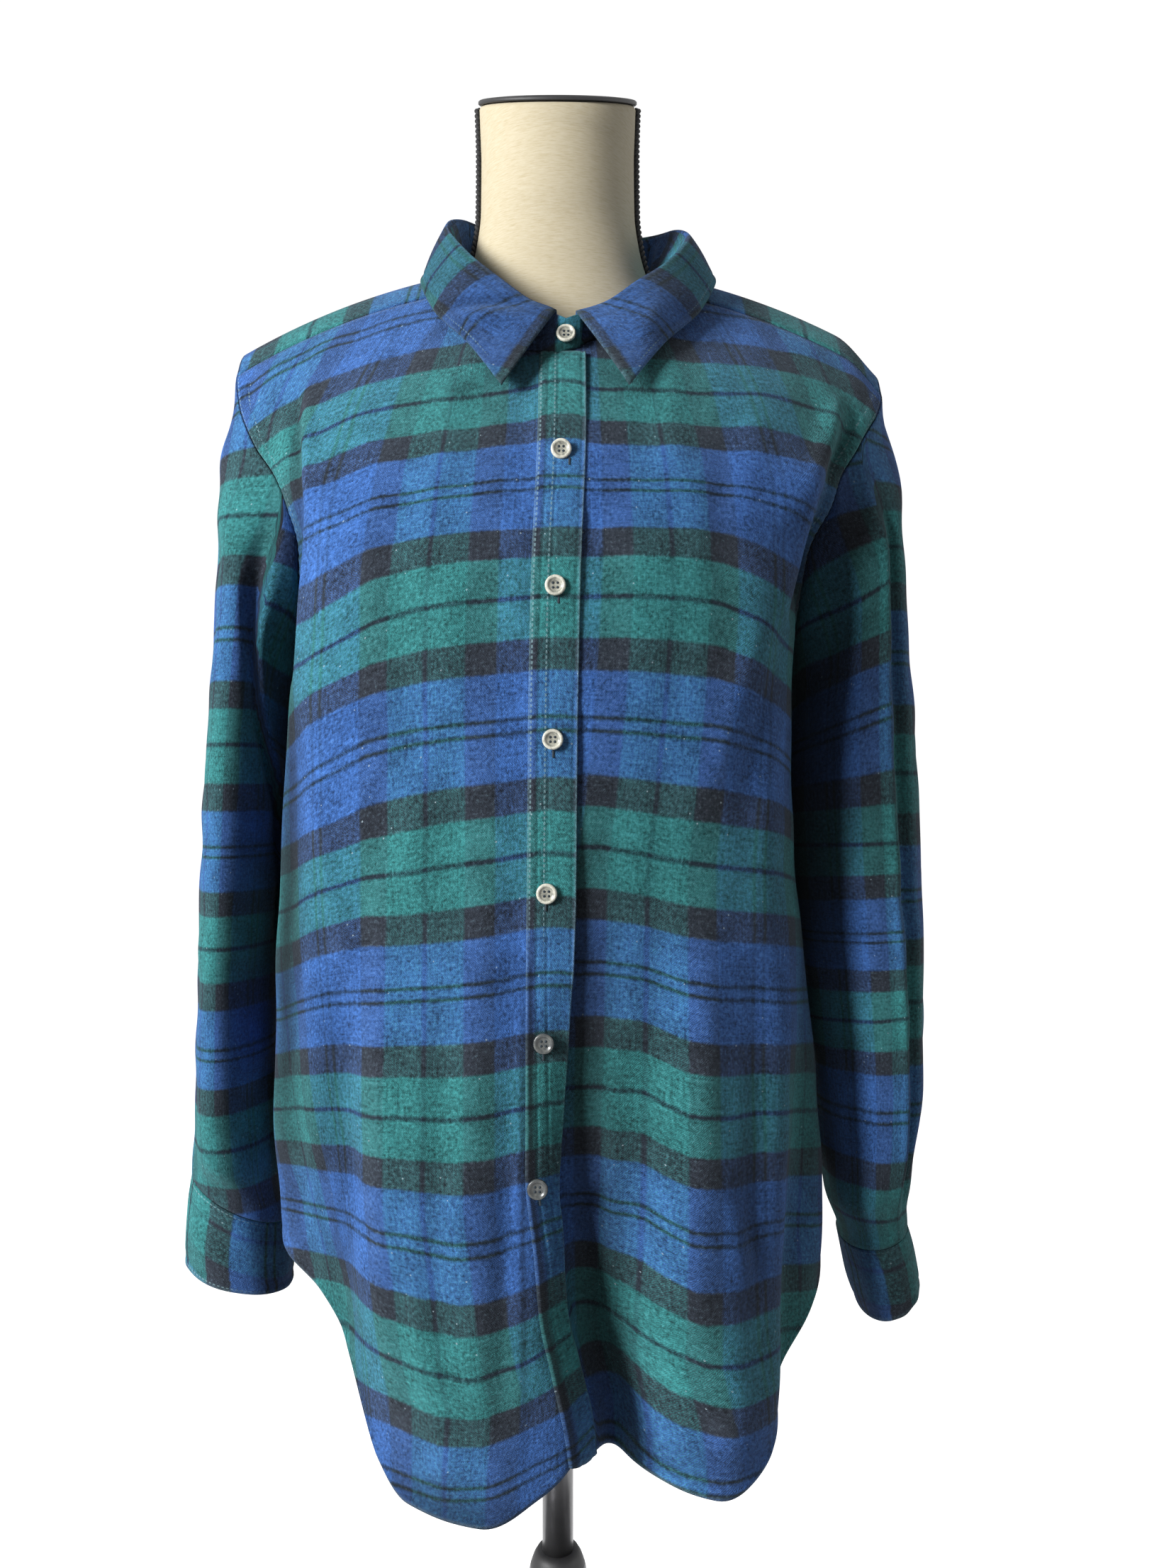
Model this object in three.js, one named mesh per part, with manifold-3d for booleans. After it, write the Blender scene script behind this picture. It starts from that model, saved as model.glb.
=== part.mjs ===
// A long-sleeved, button-front flannel shirt worn by a limbless dress form on a
// pole and a flared base. Millimetres, +Z up, the front faces -Y, and the
// origin is the centre of the base's underside. "Left" and "right" in the names
// are the wearer's, so the right front is on the -X side.
import * as THREE from 'three';
import { mergeVertices } from 'three/addons/utils/BufferGeometryUtils.js';
import Module from 'manifold-3d';

const wasm = await Module();
wasm.setup();

const RIGHT = -1;
const LEFT = 1;

// Cloth and seams
const CLOTH = 1.6;
const SEAM_GAP = 0.3;
const ARM_SEAM_TURN = 0.05;
const LAP_RISE = 2.2;

// Heights of the shirt's own lines, as levels on the body (see bodyPoint)
const RIDGE_LEVEL = 1081;
const FRONT_YOKE_LEVEL = 1052;
const BACK_YOKE_LEVEL = 1012;
const UNDERARM_LEVEL = 800;
const NECK_FRONT_LEVEL = 983;
const SHOULDER_CURVE = 0.00122;
const NAPE = { rise: 26, width: 62, low: 1000, full: 1060, front: -5, back: 40 };
const SLOPE_START = { low: 850, full: 1000 };

// Placket, buttons and collar
const PLACKET_WIDTH = 30;
const BUTTON_RADIUS = 6.35;
const BUTTON_THICK = 2.6;
const BUTTONS = [
  // height, sideways from the placket's middle
  [908, 0],
  [824, 0],
  [733, 0],
  [640, -2.8],
  [550, -3.2],
  [464, -4.3],
];
const CUFF_BUTTON_RADIUS = 5.4;
const CUFF_BUTTON_TURN = 0.8;
const BUTTON_SIDES = 12;

// Grid steps of the cloth walls
const FRONT_COLUMNS = 12;
const NECK_COLUMNS = 4;
const CENTRE_COLUMNS = 5;
const FRONT_ARM_ROWS = 8;
const BACK_ARM_ROWS = 7;
const SIDE_ROWS = 13;
const YOKE_FRONT_ROWS = 3;
const YOKE_BACK_ROWS = 4;
const YOKE_ROWS = YOKE_FRONT_ROWS + YOKE_BACK_ROWS;
const SLEEVE_ROWS = 17;
const COLLAR_STEPS = 32;

const DEG = Math.PI / 180;
const vec = (x, y, z) => new THREE.Vector3(x, y, z);
const lerp = (a, b, t) => a + (b - a) * t;
const clamp01 = (t) => Math.min(1, Math.max(0, t));
const smooth = (t) => {
  const c = clamp01(t);
  return c * c * (3 - 2 * c);
};

const between = (from, to, x) => smooth((x - from) / (to - from));

// Smooth curve through a table's rows, without overshoot; columns by name
function tableCurve(rows, key) {
  const at = rows.map((row) => row[0]);
  const value = rows.map((row) => row[key]);
  const slope = at.map((_, i) => {
    if (i === 0) return (value[1] - value[0]) / (at[1] - at[0]);
    if (i === at.length - 1) return (value[i] - value[i - 1]) / (at[i] - at[i - 1]);
    const before = (value[i] - value[i - 1]) / (at[i] - at[i - 1]);
    const after = (value[i + 1] - value[i]) / (at[i + 1] - at[i]);
    return before * after <= 0 ? 0 : (2 * before * after) / (before + after);
  });
  return (x) => {
    if (x <= at[0]) return value[0];
    if (x >= at[at.length - 1]) return value[at.length - 1];
    let i = 0;
    while (x > at[i + 1]) i += 1;
    const step = at[i + 1] - at[i];
    const t = (x - at[i]) / step;
    const u = 1 - t;
    return value[i] * (1 + 2 * t) * u * u + value[i + 1] * (3 - 2 * t) * t * t
      + slope[i] * step * t * u * u - slope[i + 1] * step * t * t * u;
  };
}

// Body sections: how far below the ridge level (square root of the drop), half
// widths to the wearer's right and left, depth before and behind the section's
// middle, and where that middle is from front to back.
const drop = (level) => Math.sqrt(Math.max(0, RIDGE_LEVEL - level));
const BODY = [
  // drop, right, left, front, back, middle y
  [drop(1081), 285, 285, 0, 0, 22],
  [drop(1052), 288, 288, 44, 42, 18],
  [drop(1024), 262, 262, 65, 66, 14],
  [drop(983), 224, 224, 93, 88, 8],
  [drop(940), 198, 200, 112, 103, 3],
  [drop(900), 184, 188, 125, 111, 0],
  [drop(860), 175, 171, 133, 115, 0],
  [drop(820), 176, 165, 137, 117, 0],
  [drop(760), 182, 161, 136, 116, 0],
  [drop(700), 186, 162, 131, 114, 0],
  [drop(640), 190, 166, 129, 115, 0],
  [drop(576), 193, 172, 130, 118, 0],
  [drop(500), 194, 177, 134, 122, 0],
  [drop(430), 188, 178, 137, 125, 0],
  [drop(350), 176, 174, 139, 127, 0],
  [drop(230), 168, 164, 140, 128, 0],
];
const [halfRight, halfLeft, frontDepth, backDepth, middleY] = [1, 2, 3, 4, 5]
  .map((key) => tableCurve(BODY, key));

// Where the armhole cuts the body: level, degrees from the front
const ARMHOLE = [
  [800, 90],
  [812, 83],
  [830, 77],
  [870, 69],
  [912, 64],
  [965, 58],
  [1024, 48],
  [1052, 44],
  [1081, 45],
];
const armholeAngle = tableCurve(ARMHOLE, 1);

// Hem by degrees from the middle front, for each half
const HEM = [
  // degrees, wearer's right half, wearer's left half
  [0, 299, 286],
  [6, 284, 284],
  [16, 268, 277],
  [30, 271, 276],
  [38, 290, 283],
  [44, 342, 291],
  [52, 388, 312],
  [62, 404, 348],
  [74, 414, 392],
  [90, 424, 424],
  [106, 392, 392],
  [124, 322, 322],
  [142, 262, 262],
  [160, 240, 240],
  [180, 237, 237],
];
const hemRight = tableCurve(HEM, 1);
const hemLeft = tableCurve(HEM, 2);

// Long soft folds of the hanging cloth: degrees at the top and at the hem, width
// in degrees, level where one starts and where it is full, and its depth
const FOLDS = [
  { top: -16, hem: -20, width: 13, start: 700, full: 330, depth: 12 },
  { top: -46, hem: -47, width: 8, start: 640, full: 380, depth: -13 },
  { top: -62, hem: -60, width: 8, start: 700, full: 400, depth: 5 },
  { top: 34, hem: 30, width: 12, start: 720, full: 340, depth: 9 },
  { top: 56, hem: 54, width: 7, start: 620, full: 380, depth: -12 },
  { top: 70, hem: 68, width: 7, start: 660, full: 400, depth: 6 },
  { top: -44, hem: -46, width: 7, start: 985, full: 900, depth: 5 },
  { top: 44, hem: 46, width: 7, start: 985, full: 900, depth: 4 },
  { top: 128, hem: 124, width: 9, start: 900, full: 420, depth: -11 },
  { top: 146, hem: 146, width: 8, start: 860, full: 380, depth: 9 },
  { top: 166, hem: 164, width: 8, start: 900, full: 400, depth: -10 },
  { top: -126, hem: -122, width: 9, start: 880, full: 400, depth: -12 },
  { top: -143, hem: -145, width: 8, start: 860, full: 380, depth: 8 },
  { top: -163, hem: -166, width: 8, start: 920, full: 420, depth: -9 },
];

// The lower front hangs open beside the placket: the left front falls back
const LAP = { angle: 7, width: 13, start: 690, full: 290, depth: -58 };
const PLACKET_TURN = { angle: 5, width: 6, start: 640, full: 300, depth: -48 };
const PLACKET_NARROW = { start: 640, full: 380, share: 0.5 };

// Sideways wander of the front edge by height
const FRONT_LINE = [
  [260, 27],
  [309, 24],
  [350, 15.6],
  [386, 7.5],
  [426, 4],
  [472, -1],
  [560, -1],
  [700, 0],
  [820, 2],
  [930, 5.5],
  [1000, 5],
];
const frontLine = tableCurve(FRONT_LINE, 1);

function softFolds(angle, height, lap) {
  let out = 0;
  for (const fold of FOLDS) {
    const grown = smooth((fold.start - height) / (fold.start - fold.full));
    const centre = lerp(fold.top, fold.hem, grown);
    out += fold.depth * grown * Math.exp(-(((angle - centre) / fold.width) ** 2));
  }
  const grown = clamp01((lap.start - height) / (lap.start - lap.full)) ** 1.4;
  return out + lap.depth * grown * Math.exp(-(((angle - lap.angle) / lap.width) ** 2));
}

// A point of the body surface: angle in degrees from the middle front, positive
// to the wearer's left, and a level. Levels are heights at the middle of the
// body; towards the shoulder tips the high ones slope down with the shoulders.
function bodyPoint(angle, height, lap = PLACKET_TURN) {
  const key = drop(height);
  const power = lerp(2.6, 3, smooth((height - 500) / 300));
  const a = angle * DEG;
  const reach = (Math.abs(Math.cos(a)) ** power + Math.abs(Math.sin(a)) ** power) ** (-1 / power);
  const across = reach * Math.sin(a);
  const along = reach * Math.cos(a);
  const half = across < 0 ? halfRight(key) : halfLeft(key);
  const deep = along > 0 ? frontDepth(key) : backDepth(key);
  const fold = softFolds(angle, height, lap);
  const front = Math.max(0, Math.cos(a)) ** 4;
  const x = half * across + fold * Math.sin(a) + frontLine(height) * front;
  const y = middleY(key) - deep * along - fold * Math.cos(a);
  return onShoulders(x, y, height);
}

// High levels slope down towards the shoulder tips and rise to the nape
function onShoulders(x, y, height) {
  const slope = SHOULDER_CURVE * between(SLOPE_START.low, SLOPE_START.full, height);
  const nape = NAPE.rise * Math.exp(-((x / NAPE.width) ** 2))
    * between(NAPE.low, NAPE.full, height) * between(NAPE.front, NAPE.back, y);
  return vec(x, y, height - slope * x * x + nape);
}

function bodyNormal(angle, height, lap) {
  const turn = 0.4;
  const fall = height > RIDGE_LEVEL - 1 ? 0.2 : 0.6;
  const lower = Math.min(height, RIDGE_LEVEL - fall);
  const a = bodyPoint(angle + turn, lower, lap).sub(bodyPoint(angle - turn, lower, lap));
  const b = bodyPoint(angle, lower + fall, lap).sub(bodyPoint(angle, lower - fall, lap));
  return a.cross(b).normalize();
}

const bodySpot = (angle, height, lap, rise = 0) => {
  const n = bodyNormal(angle, height, lap);
  return { p: bodyPoint(angle, height, lap).addScaledVector(n, rise), n };
};

// A wall of cloth: rows of spots (point and outward normal) give the outer face,
// and the inner one lies CLOTH behind it. A ring closes on itself.
function wall(rows, { ring = false, thick = CLOTH } = {}) {
  const height = rows.length;
  const width = rows[0].length;
  const outer = [];
  const inner = [];
  for (const row of rows) {
    for (const spot of row) {
      outer.push(spot.p);
      inner.push(spot.p.clone().addScaledVector(spot.n, -thick));
    }
  }
  const points = [...outer, ...inner];
  const faces = [];
  const quad = (a, b, c, d) => faces.push(a, b, c, a, c, d);
  const at = (i, j) => i * width + (j % width);
  const back = outer.length;
  const lastColumn = ring ? width : width - 1;
  for (let i = 0; i < height - 1; i += 1) {
    for (let j = 0; j < lastColumn; j += 1) {
      const [a, b, c, d] = [at(i, j), at(i, j + 1), at(i + 1, j + 1), at(i + 1, j)];
      quad(a, b, c, d);
      quad(back + d, back + c, back + b, back + a);
    }
  }
  for (let j = 0; j < lastColumn; j += 1) {
    const [a, b] = [at(0, j), at(0, j + 1)];
    quad(b, a, back + a, back + b);
    const [c, d] = [at(height - 1, j), at(height - 1, j + 1)];
    quad(c, d, back + d, back + c);
  }
  if (!ring) {
    for (let i = 0; i < height - 1; i += 1) {
      const [a, b] = [at(i, 0), at(i + 1, 0)];
      quad(a, b, back + b, back + a);
      const [c, d] = [at(i, width - 1), at(i + 1, width - 1)];
      quad(d, c, back + c, back + d);
    }
  }
  return faceted(points, faces);
}

// Indexed geometry whose faces point out
function faceted(points, faces) {
  let volume = 0;
  for (let i = 0; i < faces.length; i += 3) {
    const [a, b, c] = [points[faces[i]], points[faces[i + 1]], points[faces[i + 2]]];
    volume += a.dot(b.clone().cross(c));
  }
  if (volume < 0) faces.reverse();
  const geometry = new THREE.BufferGeometry().setFromPoints(points);
  geometry.setIndex(faces);
  return geometry;
}

// Fronts
const angleAcross = (x, height, side) => {
  const key = drop(height);
  const half = side === RIGHT ? halfRight(key) : halfLeft(key);
  return Math.atan2(x, half) / DEG;
};
const edgeAngle = (height) => (height <= UNDERARM_LEVEL ? 90 : armholeAngle(height));

// Column fractions from the front edge to the armhole, and where the neck ends
const frontFractions = [];
const NECK_FRACTION = 0.34;
for (let i = 0; i <= FRONT_COLUMNS; i += 1) {
  frontFractions.push(i <= NECK_COLUMNS
    ? (NECK_FRACTION * i) / NECK_COLUMNS
    : lerp(NECK_FRACTION, 1, (i - NECK_COLUMNS) / (FRONT_COLUMNS - NECK_COLUMNS)));
}
const frontTop = (fraction) => {
  const rise = clamp01(fraction / NECK_FRACTION) ** 2;
  return lerp(NECK_FRONT_LEVEL, FRONT_YOKE_LEVEL - SEAM_GAP, rise);
};

// Row levels down a column: to the underarm line, then on to the hem
function rowLevels(top, hem, armRows) {
  const share = (top - UNDERARM_LEVEL) / (top - hem);
  const levels = [];
  for (let i = 0; i <= armRows; i += 1) levels.push(lerp(top, hem, (share * i) / armRows));
  for (let i = 1; i <= SIDE_ROWS; i += 1) {
    levels.push(lerp(top, hem, lerp(share, 1, i / SIDE_ROWS)));
  }
  return levels;
}

function frontRows(side, innerEdge, lap) {
  const hem = side === RIGHT ? hemRight : hemLeft;
  const columns = frontFractions.map((fraction) => {
    const turn = lerp(0, 90, fraction);
    const levels = rowLevels(frontTop(fraction), hem(turn), FRONT_ARM_ROWS);
    return levels.map((height) => {
      const inner = angleAcross(innerEdge, height, side);
      const outer = side * (edgeAngle(height) - ARM_SEAM_TURN);
      return bodySpot(lerp(inner, outer, fraction), height, lap);
    });
  });
  return columns[0].map((_, row) => columns.map((column) => column[row]));
}

const frontRight = frontRows(RIGHT, -PLACKET_WIDTH / 2 - SEAM_GAP, PLACKET_TURN);
const frontLeft = frontRows(LEFT, -PLACKET_WIDTH / 2 + 3, LAP);

// Yoke and back share their columns: fractions of the armhole angle, seen from
// the middle back, negative to the wearer's right
const seamFractions = (side) => {
  const innerEdge = side === RIGHT ? -PLACKET_WIDTH / 2 - SEAM_GAP : -PLACKET_WIDTH / 2 + 3;
  const inner = angleAcross(innerEdge, FRONT_YOKE_LEVEL, side) * side;
  const outer = edgeAngle(FRONT_YOKE_LEVEL) - ARM_SEAM_TURN;
  return frontFractions.slice(NECK_COLUMNS).map((f) => lerp(inner, outer, f) / outer);
};
const rightFractions = seamFractions(RIGHT).reverse().map((f) => -f);
const leftFractions = seamFractions(LEFT);
const centreFractions = [];
for (let i = 1; i < CENTRE_COLUMNS; i += 1) {
  centreFractions.push(lerp(rightFractions.at(-1), leftFractions[0], i / CENTRE_COLUMNS));
}
const acrossFractions = [...rightFractions, ...centreFractions, ...leftFractions];

// Signed drop: negative before the ridge, positive behind it
function yokeSpot(fraction, signedDrop) {
  const height = RIDGE_LEVEL - signedDrop * signedDrop;
  const side = fraction < 0 ? RIGHT : LEFT;
  const turn = Math.abs(fraction) * (edgeAngle(height) - ARM_SEAM_TURN);
  const angle = signedDrop < 0 ? side * turn : side * (180 - turn);
  const spot = bodySpot(angle, height, PLACKET_TURN);
  if (Math.abs(signedDrop) < 1) spot.n = vec(0, 0, 1).addScaledVector(spot.n, 0.02).normalize();
  return spot;
}
const FRONT_SEAM_DROP = -drop(FRONT_YOKE_LEVEL + SEAM_GAP);
const BACK_SEAM_DROP = drop(BACK_YOKE_LEVEL + SEAM_GAP);
const NECK_SIDE_DROP = 2.1;
const NECK_BACK_DROP = 4.2;

// Drops along an armhole: from the front seam over the ridge to the back seam
const yokeDrops = (backEnd) => {
  const drops = [];
  for (let i = 0; i <= YOKE_FRONT_ROWS; i += 1) {
    drops.push(FRONT_SEAM_DROP * (1 - i / YOKE_FRONT_ROWS));
  }
  for (let i = 1; i <= YOKE_BACK_ROWS; i += 1) drops.push((backEnd * i) / YOKE_BACK_ROWS);
  return drops;
};

// The yoke runs in a U round the neck: each ray goes from the neckline to the
// armhole or to the back seam, as pairs of across fraction and signed drop
const neckFraction = leftFractions[0];
const armholeRays = yokeDrops(BACK_SEAM_DROP).map((outerDrop, i) => ({
  inner: [neckFraction, yokeDrops(NECK_SIDE_DROP)[i]],
  outer: [1, outerDrop],
}));
const mirrored = (ray) => ({ inner: [-ray.inner[0], ray.inner[1]], outer: [-1, ray.outer[1]] });
const backRays = acrossFractions.slice(1, -1).map((fraction, i) => {
  const round = (Math.PI * (i + 1)) / (acrossFractions.length - 1);
  const inner = [
    -neckFraction * Math.cos(round),
    NECK_SIDE_DROP + (NECK_BACK_DROP - NECK_SIDE_DROP) * Math.sin(round),
  ];
  return { inner, outer: [fraction, BACK_SEAM_DROP] };
});
const yokeRays = [...armholeRays.map(mirrored), ...backRays, ...[...armholeRays].reverse()];
const raySteps = leftFractions.map((f) => (f - neckFraction) / (1 - neckFraction));
const yokeRows = yokeRays.map(({ inner, outer }) => raySteps.map((t) => (
  yokeSpot(lerp(inner[0], outer[0], t), lerp(inner[1], outer[1], t)))));

const backColumns = acrossFractions.map((fraction) => {
  const side = fraction < 0 ? RIGHT : LEFT;
  const hem = side === RIGHT ? hemRight : hemLeft;
  const levels = rowLevels(BACK_YOKE_LEVEL - SEAM_GAP, hem(180 - 90 * Math.abs(fraction)), BACK_ARM_ROWS);
  return levels.map((height) => {
    const turn = Math.abs(fraction) * (edgeAngle(height) - ARM_SEAM_TURN);
    return bodySpot(side * (180 - turn), height, PLACKET_TURN);
  });
});
const backRows = backColumns[0].map((_, row) => backColumns.map((column) => column[row]));

// Cuffs: middle x and y, half width and half depth at the seam and at the edge,
// and the height of each ring at its outer and inner side
const CUFFS = {
  [RIGHT]: {
    seam: { x: -226, y: 0, wide: 33, deep: 36, outer: 433, inner: 397 },
    edge: { x: -227, y: 2, wide: 37, deep: 38, outer: 370, inner: 350 },
  },
  [LEFT]: {
    seam: { x: 224, y: 2, wide: 23, deep: 45, outer: 398, inner: 384 },
    edge: { x: 235, y: 4, wide: 20, deep: 46, outer: 357, inner: 333 },
  },
};
const CUFF_COLUMNS = 22;
const CUFF_ROWS = 3;
const CUFF_CLOTH = 2;

// t runs from the seam to the edge, turn in degrees from the outer side
function cuffPoint(side, t, turn) {
  const { seam, edge } = CUFFS[side];
  const a = turn * DEG;
  const bulge = 1.5 * Math.sin(Math.PI * t);
  const under = (1 - Math.cos(a)) / 2;
  const x = lerp(seam.x, edge.x, t) + side * (lerp(seam.wide, edge.wide, t) + bulge) * Math.cos(a);
  const y = lerp(seam.y, edge.y, t) - (lerp(seam.deep, edge.deep, t) + bulge) * Math.sin(a);
  const z = lerp(lerp(seam.outer, edge.outer, t), lerp(seam.inner, edge.inner, t), under);
  return vec(x, y, z);
}
function cuffRows(side) {
  const rows = [];
  for (let i = 0; i <= CUFF_ROWS; i += 1) {
    const row = [];
    for (let k = 0; k < CUFF_COLUMNS; k += 1) {
      row.push(cuffPoint(side, i / CUFF_ROWS, (360 * k) / CUFF_COLUMNS));
    }
    rows.push(row);
  }
  return ringSpots(rows);
}

// Sleeves: how high, the outermost and innermost reach from the middle, the
// middle and the half depth from front to back, for each arm
const SLEEVES = {
  [RIGHT]: [
    // height, outer, inner, middle y, half depth
    [400, 253, 198, 0, 34],
    [425, 256, 198, 2, 44],
    [450, 256, 198, 4, 58],
    [500, 255, 200, 6, 66],
    [576, 253, 199, 8, 70],
    [640, 252, 195, 9, 71],
    [720, 249, 192, 10, 71],
    [800, 244, 186, 10, 70],
    [860, 241, 182, 10, 68],
    [920, 239, 186, 10, 64],
    [980, 237, 196, 12, 52],
    [1014, 234, 205, 14, 40],
  ],
  [LEFT]: [
    [377, 245, 203, 2, 42],
    [402, 244, 194, 2, 50],
    [430, 249, 190, 4, 60],
    [500, 259, 186, 6, 66],
    [576, 261, 180, 8, 69],
    [640, 260, 174, 9, 71],
    [720, 257, 170, 10, 71],
    [800, 251, 172, 10, 70],
    [860, 247, 178, 10, 68],
    [920, 243, 186, 10, 64],
    [980, 238, 196, 12, 52],
    [1014, 234, 205, 14, 40],
  ],
};
// One long fold runs down each sleeve's front: degrees round the sleeve from the
// outer side over the front, width and depth
const SLEEVE_FOLDS = {
  [RIGHT]: [
    { at: 42, width: 15, depth: -13 },
    { at: 78, width: 18, depth: 3 },
    { at: 250, width: 18, depth: -9 },
    { at: 308, width: 16, depth: -7 },
  ],
  [LEFT]: [
    { at: 22, width: 12, depth: -8 },
    { at: 60, width: 20, depth: 4 },
    { at: 125, width: 18, depth: -8 },
    { at: 240, width: 20, depth: -10 },
    { at: 305, width: 16, depth: -7 },
  ],
};
const sleeveCurves = {};
for (const side of [RIGHT, LEFT]) {
  sleeveCurves[side] = [1, 2, 3, 4].map((key) => tableCurve(SLEEVES[side], key));
}

// A ring point of the hanging sleeve; turn in degrees from its outer side
function sleeveRing(side, turn, height) {
  const [outerReach, innerReach, midY, halfDeep] = sleeveCurves[side].map((curve) => curve(height));
  const half = (outerReach - innerReach) / 2;
  const a = turn * DEG;
  const grown = smooth((1000 - height) / 150) * smooth((height - 380) / 90);
  let fold = 0;
  for (const row of SLEEVE_FOLDS[side]) {
    const away = Math.abs(((turn - row.at + 540) % 360) - 180);
    fold += row.depth * grown * Math.exp(-((away / row.width) ** 2));
  }
  const x = side * (innerReach + half + (half + fold * 0.5) * Math.cos(a));
  const y = midY - (halfDeep + fold) * Math.sin(a);
  return vec(x, y, height);
}

// The armhole's loop of spots, from the front seam down, up the back and over
function armholeLoop(side) {
  const front = side === RIGHT ? frontRight : frontLeft;
  const last = acrossFractions.length - 1;
  const column = side === RIGHT ? 0 : last;
  const loop = front.slice(0, FRONT_ARM_ROWS).map((row) => row.at(-1));
  const underarm = bodySpot(side * 90, UNDERARM_LEVEL, PLACKET_TURN);
  loop.push(underarm);
  for (let i = BACK_ARM_ROWS - 1; i >= 0; i -= 1) loop.push(backRows[i][column]);
  for (let i = YOKE_ROWS - 1; i > 0; i -= 1) {
    loop.push(yokeRows[side === RIGHT ? i : yokeRows.length - 1 - i].at(-1));
  }
  return loop;
}

function sleeveRows(side) {
  const loop = armholeLoop(side);
  const low = FRONT_ARM_ROWS;
  const count = loop.length;
  let tip = 0;
  loop.forEach((spot, i) => {
    if (spot.p.z > loop[tip].p.z) tip = i;
  });
  const run = (from, to) => {
    const lengths = [0];
    for (let i = from; i < to; i += 1) {
      lengths.push(lengths.at(-1) + loop[i % count].p.distanceTo(loop[(i + 1) % count].p));
    }
    return lengths.map((length) => length / lengths.at(-1));
  };
  const turns = [];
  run(tip, low + count).forEach((f, i) => {
    turns[(tip + i) % count] = 180 * f;
  });
  run(low, tip).forEach((f, i) => {
    if (low + i < tip) turns[low + i] = 180 + 180 * f;
  });
  const away = loop.map((spot, k) => {
    const along = loop[(k + 1) % count].p.clone().sub(loop[(k + count - 1) % count].p);
    const out = along.cross(spot.n).normalize();
    return out.dot(vec(side, 0, 0)) < 0 ? out.negate() : out;
  });
  const columns = loop.map((spot, k) => {
    const tucked = cuffPoint(side, 0, turns[k]).add(vec(0, 0, 2 * SEAM_GAP));
    const column = [];
    for (let i = 1; i <= SLEEVE_ROWS; i += 1) {
      const share = (i / SLEEVE_ROWS) ** 1.15;
      const height = lerp(spot.p.z, tucked.z, share);
      const settle = smooth((spot.p.z - height) / 75);
      const tuck = smooth((share - 0.93) / 0.07);
      const ring = sleeveRing(side, turns[k], height);
      const x = lerp(lerp(spot.p.x + side * 1.2, ring.x, settle), tucked.x, tuck);
      const y = lerp(lerp(spot.p.y, ring.y, settle), tucked.y, tuck);
      column.push(vec(x, y, height));
    }
    column.unshift(spot.p.clone().addScaledVector(away[k], 2 * SEAM_GAP));
    return column;
  });
  const rows = columns[0].map((_, i) => columns.map((column) => column[i]));
  const spots = ringSpots(rows);
  spots[0].forEach((spot, k) => {
    const under = (1 - Math.cos(turns[k] * DEG)) / 2;
    const mitre = spots[1][k].n.clone().add(loop[k].n).add(vec(0, 0, -1.2 * under ** 6)).normalize();
    spot.n = loop[k].n.clone().lerp(mitre, smooth((under - 0.45) / 0.4)).normalize();
  });
  return spots;
}

// Outward normals for a tube given as rows of points
function ringSpots(rows) {
  const count = rows[0].length;
  return rows.map((row, i) => row.map((p, k) => {
    const around = row[(k + 1) % count].clone().sub(row[(k + count - 1) % count]);
    const down = rows[Math.min(i + 1, rows.length - 1)][k].clone()
      .sub(rows[Math.max(i - 1, 0)][k]);
    const middle = row.reduce((sum, q) => sum.add(q), vec(0, 0, 0)).divideScalar(count);
    const n = around.cross(down).normalize();
    const outward = p.clone().sub(middle);
    return { p, n: n.dot(outward) < 0 ? n.negate() : n };
  }));
}

// Placket: a strip on the right front's edge, lying over the left front
const PLACKET_COLUMNS = 3;
function placketWidth(height) {
  const { start, full, share } = PLACKET_NARROW;
  return PLACKET_WIDTH * (1 - share * smooth((start - height) / (start - full)));
}
function placketRows() {
  const columns = [];
  for (let i = 0; i <= PLACKET_COLUMNS; i += 1) {
    const levels = rowLevels(NECK_FRONT_LEVEL - 1, 299 - 4 * (i / PLACKET_COLUMNS), FRONT_ARM_ROWS);
    columns.push(levels.map((height) => {
      const across = placketWidth(height) * (i / PLACKET_COLUMNS) - PLACKET_WIDTH / 2;
      const side = across < 0 ? RIGHT : LEFT;
      return bodySpot(angleAcross(across, height, side), height, PLACKET_TURN, LAP_RISE);
    }));
  }
  return columns[0].map((_, row) => columns.map((column) => column[row]));
}

// Collar: the fold line round the neck, by degrees from the middle back
const COLLAR = { x: 7.6, y: -17, wide: 87, back: 79, front: 72, tilt: 4, narrow: 0.04 };
const FOLD_HEIGHT = [
  [0, 1121],
  [60, 1112],
  [95, 1088],
  [110, 1074],
  [125, 1057],
  [140, 1040],
  [150, 1029],
  [165, 1012.5],
  [180, 1003],
];
const foldHeight = tableCurve(FOLD_HEIGHT, 1);
function foldPoint(turn) {
  const a = turn * DEG;
  const narrow = 1 - COLLAR.narrow * Math.sin(a) ** 2;
  const deep = Math.cos(a) > 0 ? COLLAR.back : COLLAR.front;
  return vec(
    COLLAR.x + COLLAR.wide * narrow * Math.sin(a),
    COLLAR.y + deep * Math.cos(a),
    foldHeight(Math.abs(turn)) - COLLAR.tilt * Math.sin(a),
  );
}

const outwardAt = (turn) => vec(Math.sin(turn * DEG), Math.cos(turn * DEG), 0);

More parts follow.
